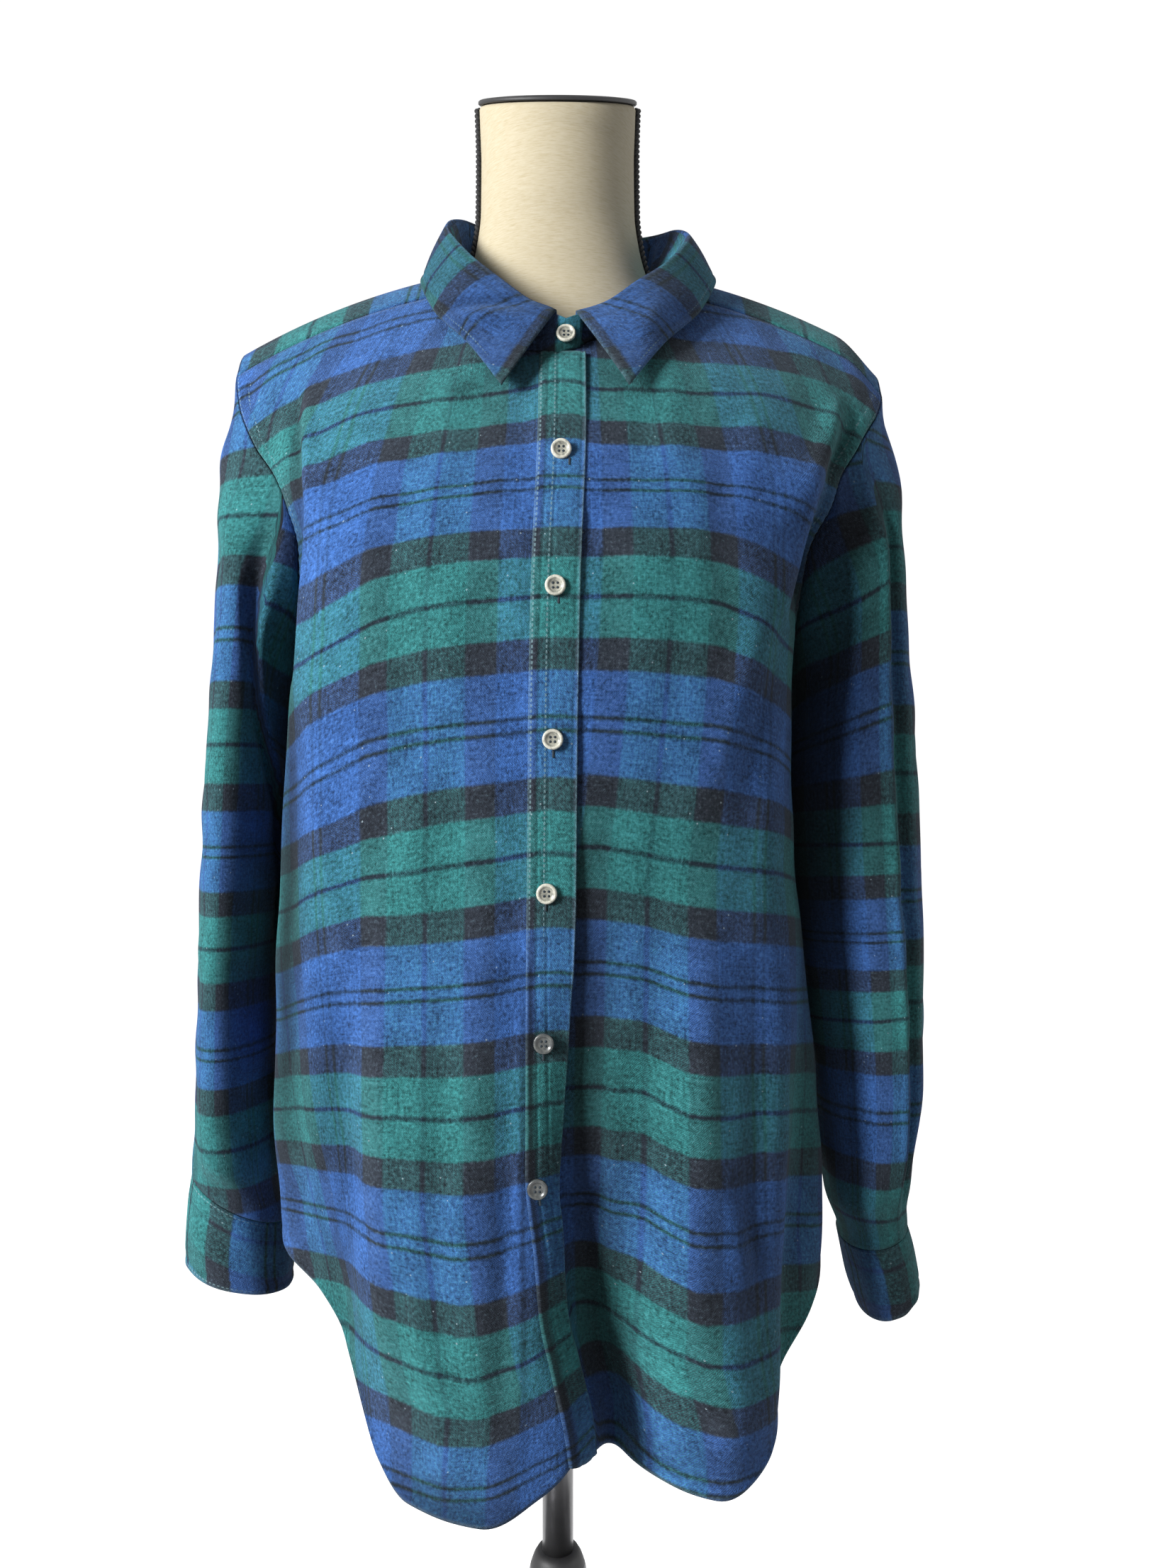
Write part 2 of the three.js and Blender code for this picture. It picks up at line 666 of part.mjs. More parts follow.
// The stand rises from the neckline: its points by their turn round the collar
const neckline = [
  ...frontRight[0].slice(0, NECK_COLUMNS + 1),
  ...frontLeft[0].slice(0, NECK_COLUMNS + 1),
  ...yokeRows.map((row) => row[0]),
].map(({ p }) => ({ turn: Math.atan2(p.x - COLLAR.x, p.y - COLLAR.y) / DEG, p }))
  .sort((a, b) => a.turn - b.turn);
const STAND_CLEAR = { inward: 1.3, up: 1.7 };
function seamPoint(turn) {
  const wrapped = ((turn + 540) % 360) - 180;
  let after = neckline.findIndex((spot) => spot.turn > wrapped);
  if (after < 0) after = 0;
  const before = (after + neckline.length - 1) % neckline.length;
  const [a, b] = [neckline[before], neckline[after]];
  const span = (b.turn - a.turn + 360) % 360;
  const share = (((wrapped - a.turn) + 360) % 360) / span;
  const p = a.p.clone().lerp(b.p, share);
  const inward = vec(COLLAR.x - p.x, COLLAR.y - p.y, 0).normalize();
  return p.addScaledVector(inward, STAND_CLEAR.inward).add(vec(0, 0, STAND_CLEAR.up));
}
const STAND_ROWS = 3;
const STAND_START = -188;
const STAND_END = 174;
const STAND_LEAN = 1.2;
const STAND_LAP = { turn: -165, ease: 8, rise: CLOTH + 2 * SEAM_GAP };

// A point of the stand: turn from the middle back, t from the seam to the fold.
// Its right end laps over the left one at the front.
function standPoint(turn, t) {
  const lapped = smooth((STAND_LAP.turn - turn) / STAND_LAP.ease);
  const fold = foldPoint(turn);
  const p = seamPoint(turn).lerp(fold, t);
  p.addScaledVector(outwardAt(turn), lapped * STAND_LAP.rise - STAND_LEAN * t);
  p.z = Math.min(p.z, fold.z - SEAM_GAP);
  return p;
}
function standRows() {
  const rows = [];
  for (let i = 0; i <= STAND_ROWS; i += 1) {
    const row = [];
    for (let k = 0; k <= COLLAR_STEPS; k += 1) {
      const turn = lerp(STAND_START, STAND_END, k / COLLAR_STEPS);
      row.push({ p: standPoint(turn, i / STAND_ROWS), n: outwardAt(turn) });
    }
    rows.push(row);
  }
  return rows;
}

// Where the collar leaf's free edge lies: degrees from the middle back, then its
// x and y from the middle, and its height
const LEAF_EDGE = [
  [0, 0, 72, 1077],
  [45, 68, 58, 1076],
  [80, 103, 22, 1071],
  [100, 104, -10, 1059],
  [125, 90, -50, 1022],
  [150, 62, -87, 985],
  [176, 40, -113, 951],
];
const leafEdge = [1, 2, 3].map((key) => tableCurve(LEAF_EDGE, key));
const LEAF_ROWS = 5;
const LEAF_END = 176;
const LEAF_BULGE = 4;
function leafRows() {
  const rows = [];
  for (let i = 0; i <= LEAF_ROWS; i += 1) {
    const t = i / LEAF_ROWS;
    const row = [];
    for (let k = 0; k <= COLLAR_STEPS; k += 1) {
      const turn = lerp(-LEAF_END, LEAF_END, k / COLLAR_STEPS);
      const [x, y, z] = leafEdge.map((curve) => curve(Math.abs(turn)));
      const side = turn < 0 ? RIGHT : LEFT;
      const outward = outwardAt(turn);
      const from = foldPoint(turn).add(vec(0, 0, CLOTH + 1)).addScaledVector(outward, 0.8);
      const to = vec(COLLAR.x + side * x, y, z + 2);
      const p = from.lerp(to, t);
      p.addScaledVector(outward, LEAF_BULGE * Math.sin(Math.PI * t) ** 0.6);
      row.push(p);
    }
    rows.push(row);
  }
  return openSpots(rows);
}

// Outward normals for an open sheet, turned away from the form's axis and up
function openSpots(rows) {
  return rows.map((row, i) => row.map((p, k) => {
    const across = row[Math.min(k + 1, row.length - 1)].clone().sub(row[Math.max(k - 1, 0)]);
    const down = rows[Math.min(i + 1, rows.length - 1)][k].clone().sub(rows[Math.max(i - 1, 0)][k]);
    const n = across.cross(down).normalize();
    const outward = vec(p.x, p.y, 60);
    return { p, n: n.dot(outward) < 0 ? n.negate() : n };
  }));
}

// Dress form: a smooth torso that carries the yoke, and a flared neck
const FORM_RIDGE = RIDGE_LEVEL - CLOTH - 0.8;
const FORM = [
  // drop below the form's ridge, half width, front, back, middle y
  [0, 212, 0, 0, 22],
  [5.1, 214, 38, 36.5, 18],
  [7.4, 212, 56, 57, 14],
  [9.8, 198, 84, 80, 8],
  [11.8, 181, 103, 95, 3],
  [13.4, 168, 115, 102, 0],
  [14.8, 160, 123, 105, 0],
  [16.1, 156, 126, 106, 0],
  [17.9, 148, 118, 102, 0],
  [19.4, 142, 110, 98, 0],
  [21, 148, 110, 100, 0],
  [22.4, 156, 104, 104, 0],
  [24, 158, 98, 106, 0],
  [25.4, 154, 92, 102, 0],
];
const [formHalf, formFront, formBack, formMiddle] = [1, 2, 3, 4].map((key) => tableCurve(FORM, key));
const FORM_DROPS = [0, 2.2, 4.4, 6.3, 8.2, 10, 11.6, 13, 14.4, 16, 18.6, 21, 23.2, 25.2];
const FORM_EDGE = 14;
const FORM_COLUMNS = 32;
const FORM_ROUND = 4;
function formPoint(turn, dropped, shrink = 1) {
  const power = 3.2;
  const a = turn * DEG;
  const reach = (Math.abs(Math.cos(a)) ** power + Math.abs(Math.sin(a)) ** power) ** (-1 / power);
  const deep = Math.cos(a) > 0 ? formFront(dropped) : formBack(dropped);
  const x = formHalf(dropped) * reach * Math.sin(a) * shrink;
  const y = formMiddle(dropped) - deep * reach * Math.cos(a) * shrink;
  const height = FORM_RIDGE - dropped * dropped;
  return onShoulders(x, y, height);
}
function torsoGeometry() {
  const points = [];
  const faces = [];
  const rows = FORM_DROPS.map((dropped) => ({ dropped, shrink: 1, fall: 0 }));
  for (let i = 1; i <= FORM_ROUND; i += 1) {
    const a = (i / FORM_ROUND) * (Math.PI / 2);
    rows.push({ dropped: FORM_DROPS.at(-1), shrink: lerp(0.86, 1, Math.cos(a)), fall: FORM_EDGE * Math.sin(a) });
  }
  for (const { dropped, shrink, fall } of rows) {
    for (let k = 0; k < FORM_COLUMNS; k += 1) {
      const p = formPoint((360 * k) / FORM_COLUMNS, dropped, shrink);
      p.z -= fall;
      points.push(p);
    }
  }
  const at = (i, k) => i * FORM_COLUMNS + (k % FORM_COLUMNS);
  for (let i = 0; i < rows.length - 1; i += 1) {
    for (let k = 0; k < FORM_COLUMNS; k += 1) {
      const [a, b, c, d] = [at(i, k), at(i, k + 1), at(i + 1, k + 1), at(i + 1, k)];
      faces.push(a, b, c, a, c, d);
    }
  }
  // The ridge's front and back points meet in one line
  for (let k = 0; k < FORM_COLUMNS; k += 1) {
    const other = (FORM_COLUMNS + FORM_COLUMNS / 2 - k) % FORM_COLUMNS;
    if (other > k) points[other].copy(points[k]);
  }
  const last = rows.length - 1;
  const centre = points.length;
  points.push(vec(0, 0, points[at(last, 0)].z));
  for (let k = 0; k < FORM_COLUMNS; k += 1) faces.push(at(last, k), at(last, k + 1), centre);
  return faceted(points, faces);
}

// Neck: half width, half depth and middle y by height
const NECK = [
  [1000, 88, 58, 6],
  [1030, 78, 50, 2],
  [1058, 66, 46, 1],
  [1085, 58, 46.5, 0],
  [1110, 54.5, 49, -2],
  [1150, 54, 51, -4],
  [1200, 55.5, 52, -6],
];
const neckCurves = [1, 2, 3].map((key) => tableCurve(NECK, key));
const NECK_TOP = { z: 1186, slant: 0.5, y: -6 };
const NECK_COLUMNS_ROUND = 28;
const NECK_LEVELS = [1000, 1020, 1040, 1058, 1074, 1090, 1108, 1130, 1148];
const neckRing = (height, grow = 0) => {
  const [wide, deep, midY] = neckCurves.map((curve) => curve(height));
  const ring = [];
  for (let k = 0; k < NECK_COLUMNS_ROUND; k += 1) {
    const a = (2 * Math.PI * k) / NECK_COLUMNS_ROUND;
    ring.push(vec((wide + grow) * Math.sin(a), midY - (deep + grow) * Math.cos(a), height));
  }
  return ring;
};
// Closed loft through rings of points, with flat ends
function loft(rings) {
  const count = rings[0].length;
  const points = rings.flat();
  const faces = [];
  const at = (i, k) => i * count + (k % count);
  for (let i = 0; i < rings.length - 1; i += 1) {
    for (let k = 0; k < count; k += 1) {
      faces.push(at(i, k), at(i, k + 1), at(i + 1, k + 1), at(i, k), at(i + 1, k + 1), at(i + 1, k));
    }
  }
  for (const [i, ring] of [[0, rings[0]], [rings.length - 1, rings.at(-1)]]) {
    const middle = ring.reduce((sum, p) => sum.add(p), vec(0, 0, 0)).divideScalar(count);
    const hub = points.push(middle) - 1;
    for (let k = 0; k < count; k += 1) {
      if (i === 0) faces.push(at(i, k + 1), at(i, k), hub);
      else faces.push(at(i, k), at(i, k + 1), hub);
    }
  }
  return faceted(points, faces);
}
// The neck's top is cut on a slant, lower at the front
const slantHeight = (p, z) => z + NECK_TOP.slant * (p.y - NECK_TOP.y);
function neckGeometry() {
  const rings = NECK_LEVELS.map((height) => neckRing(height));
  for (const inset of [0, 3]) {
    const ring = neckRing(1190, -inset);
    ring.forEach((p) => {
      p.z = slantHeight(p, NECK_TOP.z - 3 + inset);
    });
    rings.push(ring);
  }
  return loft(rings);
}
function capGeometry() {
  const rings = [[-2, 0], [0.6, 0], [0.6, 3.2], [-3, 3.8]].map(([grow, rise]) => {
    const ring = neckRing(1190, grow);
    ring.forEach((p) => {
      p.z = slantHeight(p, NECK_TOP.z + SEAM_GAP + rise);
    });
    return ring;
  });
  return loft(rings);
}
// Braid down each side of the neck, a flat strip on its surface
function braidGeometry(side) {
  const rings = [];
  for (const height of [1092, 1108, 1130, 1148, 1176]) {
    const [wide, deep, midY] = neckCurves.map((curve) => curve(height));
    const ring = [];
    for (const [out, along] of [[0.6, -3], [2, -2.4], [2.4, 0], [2, 2.4], [0.6, 3]]) {
      const a = along / deep;
      ring.push(vec(side * (wide + out) * Math.cos(a), midY + deep * Math.sin(a), height));
    }
    rings.push(ring);
  }
  return loft(rings);
}

function solidOf(geometry) {
  const bare = geometry.clone();
  for (const name of Object.keys(bare.attributes)) {
    if (name !== 'position') bare.deleteAttribute(name);
  }
  const merged = mergeVertices(bare, 1e-3);
  return new wasm.Manifold(new wasm.Mesh({
    numProp: 3,
    vertProperties: Float32Array.from(merged.attributes.position.array),
    triVerts: Uint32Array.from(merged.index.array),
  }));
}
function geometryOf(solid) {
  const mesh = solid.getMesh();
  const geometry = new THREE.BufferGeometry();
  geometry.setAttribute('position', new THREE.BufferAttribute(mesh.vertProperties, 3));
  geometry.setIndex(new THREE.BufferAttribute(mesh.triVerts, 1));
  return geometry;
}

// Pole and base
const POLE_RADIUS = 11;
const POLE_FOOT = 120;
const POLE_TOP = FORM_RIDGE - FORM_DROPS.at(-1) ** 2 - FORM_EDGE - SEAM_GAP;
const BASE_SIDES = 40;
const BASE_PROFILE = [
  // radius, height
  [0, 0],
  [160, 0],
  [160, 3],
  [156, 6],
  [120, 13],
  [84, 27],
  [56, 52],
  [38, 84],
  [27, 118],
  [19.5, 150],
  [POLE_RADIUS + SEAM_GAP, 150],
  [POLE_RADIUS + SEAM_GAP, POLE_FOOT - SEAM_GAP],
  [0, POLE_FOOT - SEAM_GAP],
];
const RING_PROFILE = [
  [POLE_RADIUS + SEAM_GAP, 150 + SEAM_GAP],
  [19, 150 + SEAM_GAP],
  [17, 157],
  [POLE_RADIUS + 3.5, 161],
  [POLE_RADIUS + SEAM_GAP, 161],
];
function lathe(profile, sides) {
  const points = profile.map(([r, z]) => new THREE.Vector2(r, z));
  const closed = profile[0][0] > 0;
  if (closed) points.push(points[0].clone());
  const geometry = new THREE.LatheGeometry(points, sides);
  geometry.rotateX(Math.PI / 2);
  return geometry;
}

// Buttons: a turned disc with a raised rim
function buttonGeometry(radius) {
  const profile = [
    [0, 0],
    [radius * 0.8, 0],
    [radius, BUTTON_THICK * 0.45],
    [radius * 0.94, BUTTON_THICK],
    [radius * 0.72, BUTTON_THICK],
    [radius * 0.6, BUTTON_THICK * 0.7],
    [0, BUTTON_THICK * 0.7],
  ];
  return lathe(profile, BUTTON_SIDES);
}
function placeButton(mesh, spot, gap) {
  mesh.position.copy(spot.p).addScaledVector(spot.n, gap);
  mesh.quaternion.setFromUnitVectors(vec(0, 0, 1), spot.n);
}

const finish = (color, roughness, metalness = 0) => new THREE.MeshStandardMaterial({
  color, roughness, metalness, side: THREE.FrontSide,
});
const FLANNEL = finish(0x2c5f8c, 0.95);
const FLANNEL_GREEN = finish(0x24706a, 0.95);
const LINEN = finish(0xd9cfb4, 0.9);
const BLACK = finish(0x151515, 0.6);
const BUTTON = finish(0xb9b8b0, 0.25);
const STEEL = finish(0x8a8a88, 0.35, 0.9);

const shirt = new THREE.Group();
const add = (name, geometry, material) => {
  const mesh = new THREE.Mesh(geometry, material);
  mesh.name = name;
  shirt.add(mesh);
  return mesh;
};

add('front_right', wall(frontRight), FLANNEL);
add('front_left', wall(frontLeft), FLANNEL);
add('back', wall(backRows), FLANNEL);
add('yoke', wall(yokeRows), FLANNEL_GREEN);
add('placket', wall(placketRows()), FLANNEL_GREEN);
add('sleeve_right', wall(sleeveRows(RIGHT), { ring: true }), FLANNEL);
add('sleeve_left', wall(sleeveRows(LEFT), { ring: true }), FLANNEL);
add('cuff_right', wall(cuffRows(RIGHT), { ring: true, thick: CUFF_CLOTH }), FLANNEL_GREEN);
add('cuff_left', wall(cuffRows(LEFT), { ring: true, thick: CUFF_CLOTH }), FLANNEL_GREEN);
add('collar_stand', wall(standRows()), FLANNEL_GREEN);
add('collar_leaf', wall(leafRows()), FLANNEL);

const STAND_BUTTON = { turn: -180, low: 0.25, high: 0.65, gap: 1.2 };
const standLow = standPoint(STAND_BUTTON.turn, STAND_BUTTON.low);
const standHigh = standPoint(STAND_BUTTON.turn, STAND_BUTTON.high);
const standRise = standHigh.clone().sub(standLow);
placeButton(add('button_1', buttonGeometry(BUTTON_RADIUS), BUTTON), {
  p: standLow.lerp(standHigh, 0.5), n: vec(0, -standRise.z, standRise.y).normalize(),
}, STAND_BUTTON.gap);
BUTTONS.forEach(([height, sideways], i) => {
  const middle = (placketWidth(height) - PLACKET_WIDTH) / 2 + sideways;
  const angle = angleAcross(middle, height, RIGHT);
  const spot = bodySpot(angle, height, PLACKET_TURN, LAP_RISE);
  placeButton(add(`button_${i + 2}`, buttonGeometry(BUTTON_RADIUS), BUTTON), spot, 0.5);
});

for (const [side, name] of [[RIGHT, 'cuff_button_right'], [LEFT, 'cuff_button_left']]) {
  const rows = cuffRows(side);
  const column = Math.round(CUFF_COLUMNS * CUFF_BUTTON_TURN);
  const p = rows[1][column].p.clone().lerp(rows[2][column].p, 0.5);
  placeButton(add(name, buttonGeometry(CUFF_BUTTON_RADIUS), BUTTON), { p, n: rows[1][column].n }, 0.9);
}

const torso = solidOf(torsoGeometry());
const neck = solidOf(neckGeometry());
add('form_torso', geometryOf(torso.add(neck)), LINEN);
add('neck_cap', capGeometry(), BLACK);
add('neck_braid_right', braidGeometry(RIGHT), BLACK);
add('neck_braid_left', braidGeometry(LEFT), BLACK);
add('pole', lathe([[0, POLE_FOOT], [POLE_RADIUS, POLE_FOOT], [POLE_RADIUS, POLE_TOP], [0, POLE_TOP]], 24), STEEL);
add('base_ring', lathe(RING_PROFILE, 24), BLACK);
add('base', lathe(BASE_PROFILE, BASE_SIDES), STEEL);

export default shirt;
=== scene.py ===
import math

import bpy
import numpy as np
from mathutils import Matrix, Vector


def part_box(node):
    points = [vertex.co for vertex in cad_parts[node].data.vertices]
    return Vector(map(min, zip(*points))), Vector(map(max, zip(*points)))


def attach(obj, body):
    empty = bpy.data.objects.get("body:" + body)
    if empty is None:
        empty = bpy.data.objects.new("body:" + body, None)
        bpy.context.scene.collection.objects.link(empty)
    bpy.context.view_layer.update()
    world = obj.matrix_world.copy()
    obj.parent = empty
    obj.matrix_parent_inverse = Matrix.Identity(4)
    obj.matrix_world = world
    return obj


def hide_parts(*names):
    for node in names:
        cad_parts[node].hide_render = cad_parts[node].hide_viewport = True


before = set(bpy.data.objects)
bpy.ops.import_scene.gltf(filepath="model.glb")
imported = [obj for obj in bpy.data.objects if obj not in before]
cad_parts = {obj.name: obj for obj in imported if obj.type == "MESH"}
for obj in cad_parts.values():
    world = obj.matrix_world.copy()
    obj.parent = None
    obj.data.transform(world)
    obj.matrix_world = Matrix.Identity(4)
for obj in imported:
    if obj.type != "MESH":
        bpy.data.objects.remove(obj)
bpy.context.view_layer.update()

# A plaid flannel shirt on a dress form. Lengths are millimetres in the tables and
# the shape functions, and metres in Blender. The front faces -Y, and right and
# left are the wearer's, so the right front is on the -X side.
MM = 0.001
RIGHT, LEFT = -1, 1

# Cloth
THICK = 1.2
CUFF_THICK = 1.6
SEAM_GAP = 0.3
ARM_SEAM_TURN = 0.05
LAP_RISE = 2.2

# Levels of the shirt's own lines
RIDGE_LEVEL = 1081
FRONT_YOKE_LEVEL = 1052
BACK_YOKE_LEVEL = 1012
UNDERARM_LEVEL = 800
NECK_FRONT_LEVEL = 983
SHOULDER_CURVE = 0.00122
# The wearer's left shoulder is rounder than the right
TIP_DROP = {"depth": 15, "from": 200, "width": 36, "low": 960, "full": 1050}
NAPE = {"rise": 26, "width": 62, "low": 1000, "full": 1060, "front": -5, "back": 40}

PLACKET_WIDTH = 30
NECK_FRACTION = 0.34


# Small tools


def smooth(t):
    c = np.clip(t, 0, 1)
    return c * c * (3 - 2 * c)


def between(low, high, x):
    return smooth((x - low) / (high - low))


def lerp(a, b, t):
    return a + (b - a) * t


def curve(rows, key=1):
    """A smooth curve through a table's rows, without overshoot."""
    at = np.array([row[0] for row in rows], float)
    value = np.array([row[key] for row in rows], float)
    secant = np.diff(value) / np.diff(at)
    slope = np.concatenate([[secant[0]], np.zeros(len(at) - 2), [secant[-1]]])
    for i in range(1, len(at) - 1):
        before, after = secant[i - 1], secant[i]
        if before * after > 0:
            slope[i] = 2 * before * after / (before + after)

    def read(x):
        x = np.clip(x, at[0], at[-1])
        i = np.clip(np.searchsorted(at, x, side="right") - 1, 0, len(at) - 2)
        step = at[i + 1] - at[i]
        t = (x - at[i]) / step
        u = 1 - t
        ends = value[i] * (1 + 2 * t) * u * u + value[i + 1] * (3 - 2 * t) * t * t
        return ends + slope[i] * step * t * u * u - slope[i + 1] * step * t * t * u

    return read


def table_at(table, across, down):
    """Reads a table of rows (down, then values at the table's across heads), straight between its entries.
    """
    heads, rows = table
    levels = np.array([row[0] for row in rows], float)
    values = np.array([row[1:] for row in rows], float)
    i = np.clip(np.searchsorted(levels, down) - 1, 0, len(levels) - 2)
    j = np.clip(np.searchsorted(heads, across) - 1, 0, len(heads) - 2)
    heads = np.array(heads, float)
    s = np.clip((down - levels[i]) / (levels[i + 1] - levels[i]), 0, 1)
    t = np.clip((across - heads[j]) / (heads[j + 1] - heads[j]), 0, 1)
    top = lerp(values[i, j], values[i, j + 1], t)
    low = lerp(values[i + 1, j], values[i + 1, j + 1], t)
    return lerp(top, low, s)


def softened(grid, times=3):
    """A grid averaged with its neighbours, its border kept."""
    grid = grid.copy()
    for _ in range(times):
        inner = grid[1:-1, 1:-1]
        around = grid[:-2, 1:-1] + grid[2:, 1:-1] + grid[1:-1, :-2] + grid[1:-1, 2:]
        grid[1:-1, 1:-1] = 0.5 * inner + 0.125 * around
    return grid


def along(points, axis):
    """Length along a grid of points, from its first row or column."""
    steps = np.linalg.norm(np.diff(points, axis=axis), axis=-1)
    start = np.zeros_like(np.take(steps, [0], axis=axis))
    return np.concatenate([start, np.cumsum(steps, axis=axis)], axis=axis)


def ripples(x, z, seed, wavelength, count=10):
    """Gentle unevenness, about 1 high, from waves that run every way."""
    rng = np.random.default_rng(seed)
    out = np.zeros(np.broadcast(x, z).shape)
    for _ in range(count):
        turn = rng.uniform(0, math.pi)
        wave = wavelength * rng.uniform(0.7, 1.6)
        phase = rng.uniform(0, 2 * math.pi)
        out += np.sin((x * math.cos(turn) + z * math.sin(turn)) * 2 * math.pi / wave + phase)
    return out / math.sqrt(count)


def creases(x, z, rows):
    """Ridges (+) and valleys (-) laid along lines of the front view."""
    out = np.zeros(np.broadcast(x, z).shape)
    for x0, z0, x1, z1, width, depth in rows:
        dx, dz = x1 - x0, z1 - z0
        t = np.clip(((x - x0) * dx + (z - z0) * dz) / (dx * dx + dz * dz), 0, 1)
        away = np.hypot(x - (x0 + t * dx), z - (z0 + t * dz))
        out += depth * np.exp(-((away / width) ** 2)) * (0.35 + 0.65 * np.sin(math.pi * t))
    return out


# The body of the shirt, as sections round the form


def drop(level):
    return np.sqrt(np.maximum(0, RIDGE_LEVEL - level))


BODY = [
    # level, half width to the wearer's right and left, depth in front and behind, middle y
    (1081, 285, 285, 0, 0, 22),
    (1052, 288, 288, 44, 42, 18),
    (1024, 262, 262, 65, 66, 14),
    (983, 224, 224, 93, 88, 8),
    (940, 198, 200, 112, 103, 3),
    (900, 184, 188, 125, 111, 0),
    (860, 175, 171, 133, 115, 0),
    (820, 176, 165, 137, 117, 0),
    (760, 182, 161, 136, 116, 0),
    (700, 186, 162, 131, 114, 0),
    (640, 190, 166, 129, 115, 0),
    (576, 193, 172, 130, 118, 0),
    (500, 194, 177, 134, 122, 0),
    (430, 188, 178, 137, 125, 0),
    (350, 176, 174, 139, 127, 0),
    (230, 168, 164, 140, 128, 0),
]
BODY_BY_DROP = [(drop(row[0]), *row[1:]) for row in BODY]
half_right, half_left, front_depth, back_depth, middle_y = (
    curve(BODY_BY_DROP, key) for key in range(1, 6)
)

ARMHOLE = [
    # level, degrees from the front
    (800, 90), (812, 83), (830, 77), (870, 69), (912, 64),
    (965, 58), (1024, 48), (1052, 44), (1081, 45),
]
armhole_angle = curve(ARMHOLE)

HEM = [
    # degrees from the middle front, height on the wearer's right and left
    (0, 299, 286), (6, 284, 284), (16, 268, 277), (30, 271, 276), (38, 290, 283),
    (44, 342, 291), (52, 388, 312), (62, 404, 348), (74, 414, 392), (90, 424, 424),
    (106, 392, 392), (124, 322, 322), (142, 262, 262), (160, 240, 240), (180, 237, 237),
]
hem_height = {RIGHT: curve(HEM, 1), LEFT: curve(HEM, 2)}

FOLDS = [
    # degrees at the top and at the hem, width, level where it starts and is full, depth
    (-16, -20, 13, 700, 330, 12),
    (-46, -47, 8, 640, 380, -13),
    (-62, -60, 8, 700, 400, 5),
    (34, 30, 12, 720, 340, 9),
    (56, 54, 7, 620, 380, -12),
    (70, 68, 7, 660, 400, 6),
    (-44, -46, 7, 985, 900, 5),
    (44, 46, 7, 985, 900, 4),
    (128, 124, 9, 900, 420, -11),
    (146, 146, 8, 860, 380, 9),
    (166, 164, 8, 900, 400, -10),
    (-126, -122, 9, 880, 400, -12),
    (-143, -145, 8, 860, 380, 8),
    (-163, -166, 8, 920, 420, -9),
]
# The left front falls back under the placket, and the placket turns with it:
# angle, width, level where it starts and is full, depth
LAP = (7, 13, 690, 290, -58)
PLACKET_TURN = (5, 6, 640, 300, -48)
PLACKET_NARROW = {"start": 640, "full": 380, "share": 0.5}
FRONT_LINE = [
    # height, sideways wander of the front edge
    (260, 27), (309, 24), (350, 15.6), (386, 7.5), (426, 4), (472, -1),
    (560, -1), (700, 0), (820, 2), (930, 5.5), (1000, 5),
]
front_line = curve(FRONT_LINE)


def soft_folds(angle, height, lap):
    out = np.zeros(np.broadcast(angle, height).shape)
    for top, hem, width, start, full, depth in FOLDS:
        grown = smooth((start - height) / (start - full))
        centre = lerp(top, hem, grown)
        out += depth * grown * np.exp(-(((angle - centre) / width) ** 2))
    at, width, start, full, depth = lap
    grown = np.clip((start - height) / (start - full), 0, 1) ** 1.4
    return out + depth * grown * np.exp(-(((angle - at) / width) ** 2))


def on_shoulders(x, y, height):
    """High levels slope down towards the shoulder tips and rise to the nape."""
    slope = SHOULDER_CURVE * between(850, 1000, height)
    nape = NAPE["rise"] * np.exp(-((x / NAPE["width"]) ** 2))
    nape = nape * between(NAPE["low"], NAPE["full"], height)
    nape = nape * between(NAPE["front"], NAPE["back"], y)
    tip = TIP_DROP["depth"] * smooth((x - TIP_DROP["from"]) / TIP_DROP["width"])
    tip = tip * between(TIP_DROP["low"], TIP_DROP["full"], height)
    return np.stack([x, y, height - slope * x * x + nape - tip], -1)


def body_point(angle, height, lap=PLACKET_TURN, folded=1.0):
    angle, height = np.broadcast_arrays(np.asarray(angle, float), np.asarray(height, float))
    key = drop(height)
    power = lerp(2.6, 3, smooth((height - 500) / 300))
    a = np.radians(angle)
    reach = (np.abs(np.cos(a)) ** power + np.abs(np.sin(a)) ** power) ** (-1 / power)
    across, forward = reach * np.sin(a), reach * np.cos(a)
    half = np.where(across < 0, half_right(key), half_left(key))
    deep = np.where(forward > 0, front_depth(key), back_depth(key))
    fold = soft_folds(angle, height, lap) * folded
    front = np.maximum(0, np.cos(a)) ** 4
    x = half * across + fold * np.sin(a) + front_line(height) * front
    y = middle_y(key) - deep * forward - fold * np.cos(a)
    return on_shoulders(x, y, height)


def body_normal(angle, height, lap=PLACKET_TURN):
    lower = np.minimum(height, RIDGE_LEVEL - 0.6)
    a = body_point(angle + 0.4, lower, lap) - body_point(angle - 0.4, lower, lap)
    b = body_point(angle, lower + 0.6, lap) - body_point(angle, lower - 0.6, lap)
    n = np.cross(a, b)
    return n / np.linalg.norm(n, axis=-1, keepdims=True)


def edge_angle(height):
    return np.where(height <= UNDERARM_LEVEL, 90, armhole_angle(height))


def angle_across(x, height, side):
    key = drop(height)
    return np.degrees(np.arctan2(x, half_right(key) if side == RIGHT else half_left(key)))


def row_levels(top, hem, arm_rows, side_rows):
    """Levels down each column: to the underarm line, then on to the hem."""
    share = (top - UNDERARM_LEVEL) / (top - hem)
    arm = np.linspace(0, 1, arm_rows)[:, None] * share
    rest = np.linspace(0, 1, side_rows)[1:, None]
    t = np.concatenate([arm, lerp(share, 1, rest)])
    return lerp(top, hem, t)


# Cloth as a mesh

# The distance that means no stitches are near
NO_STITCH = 9.0


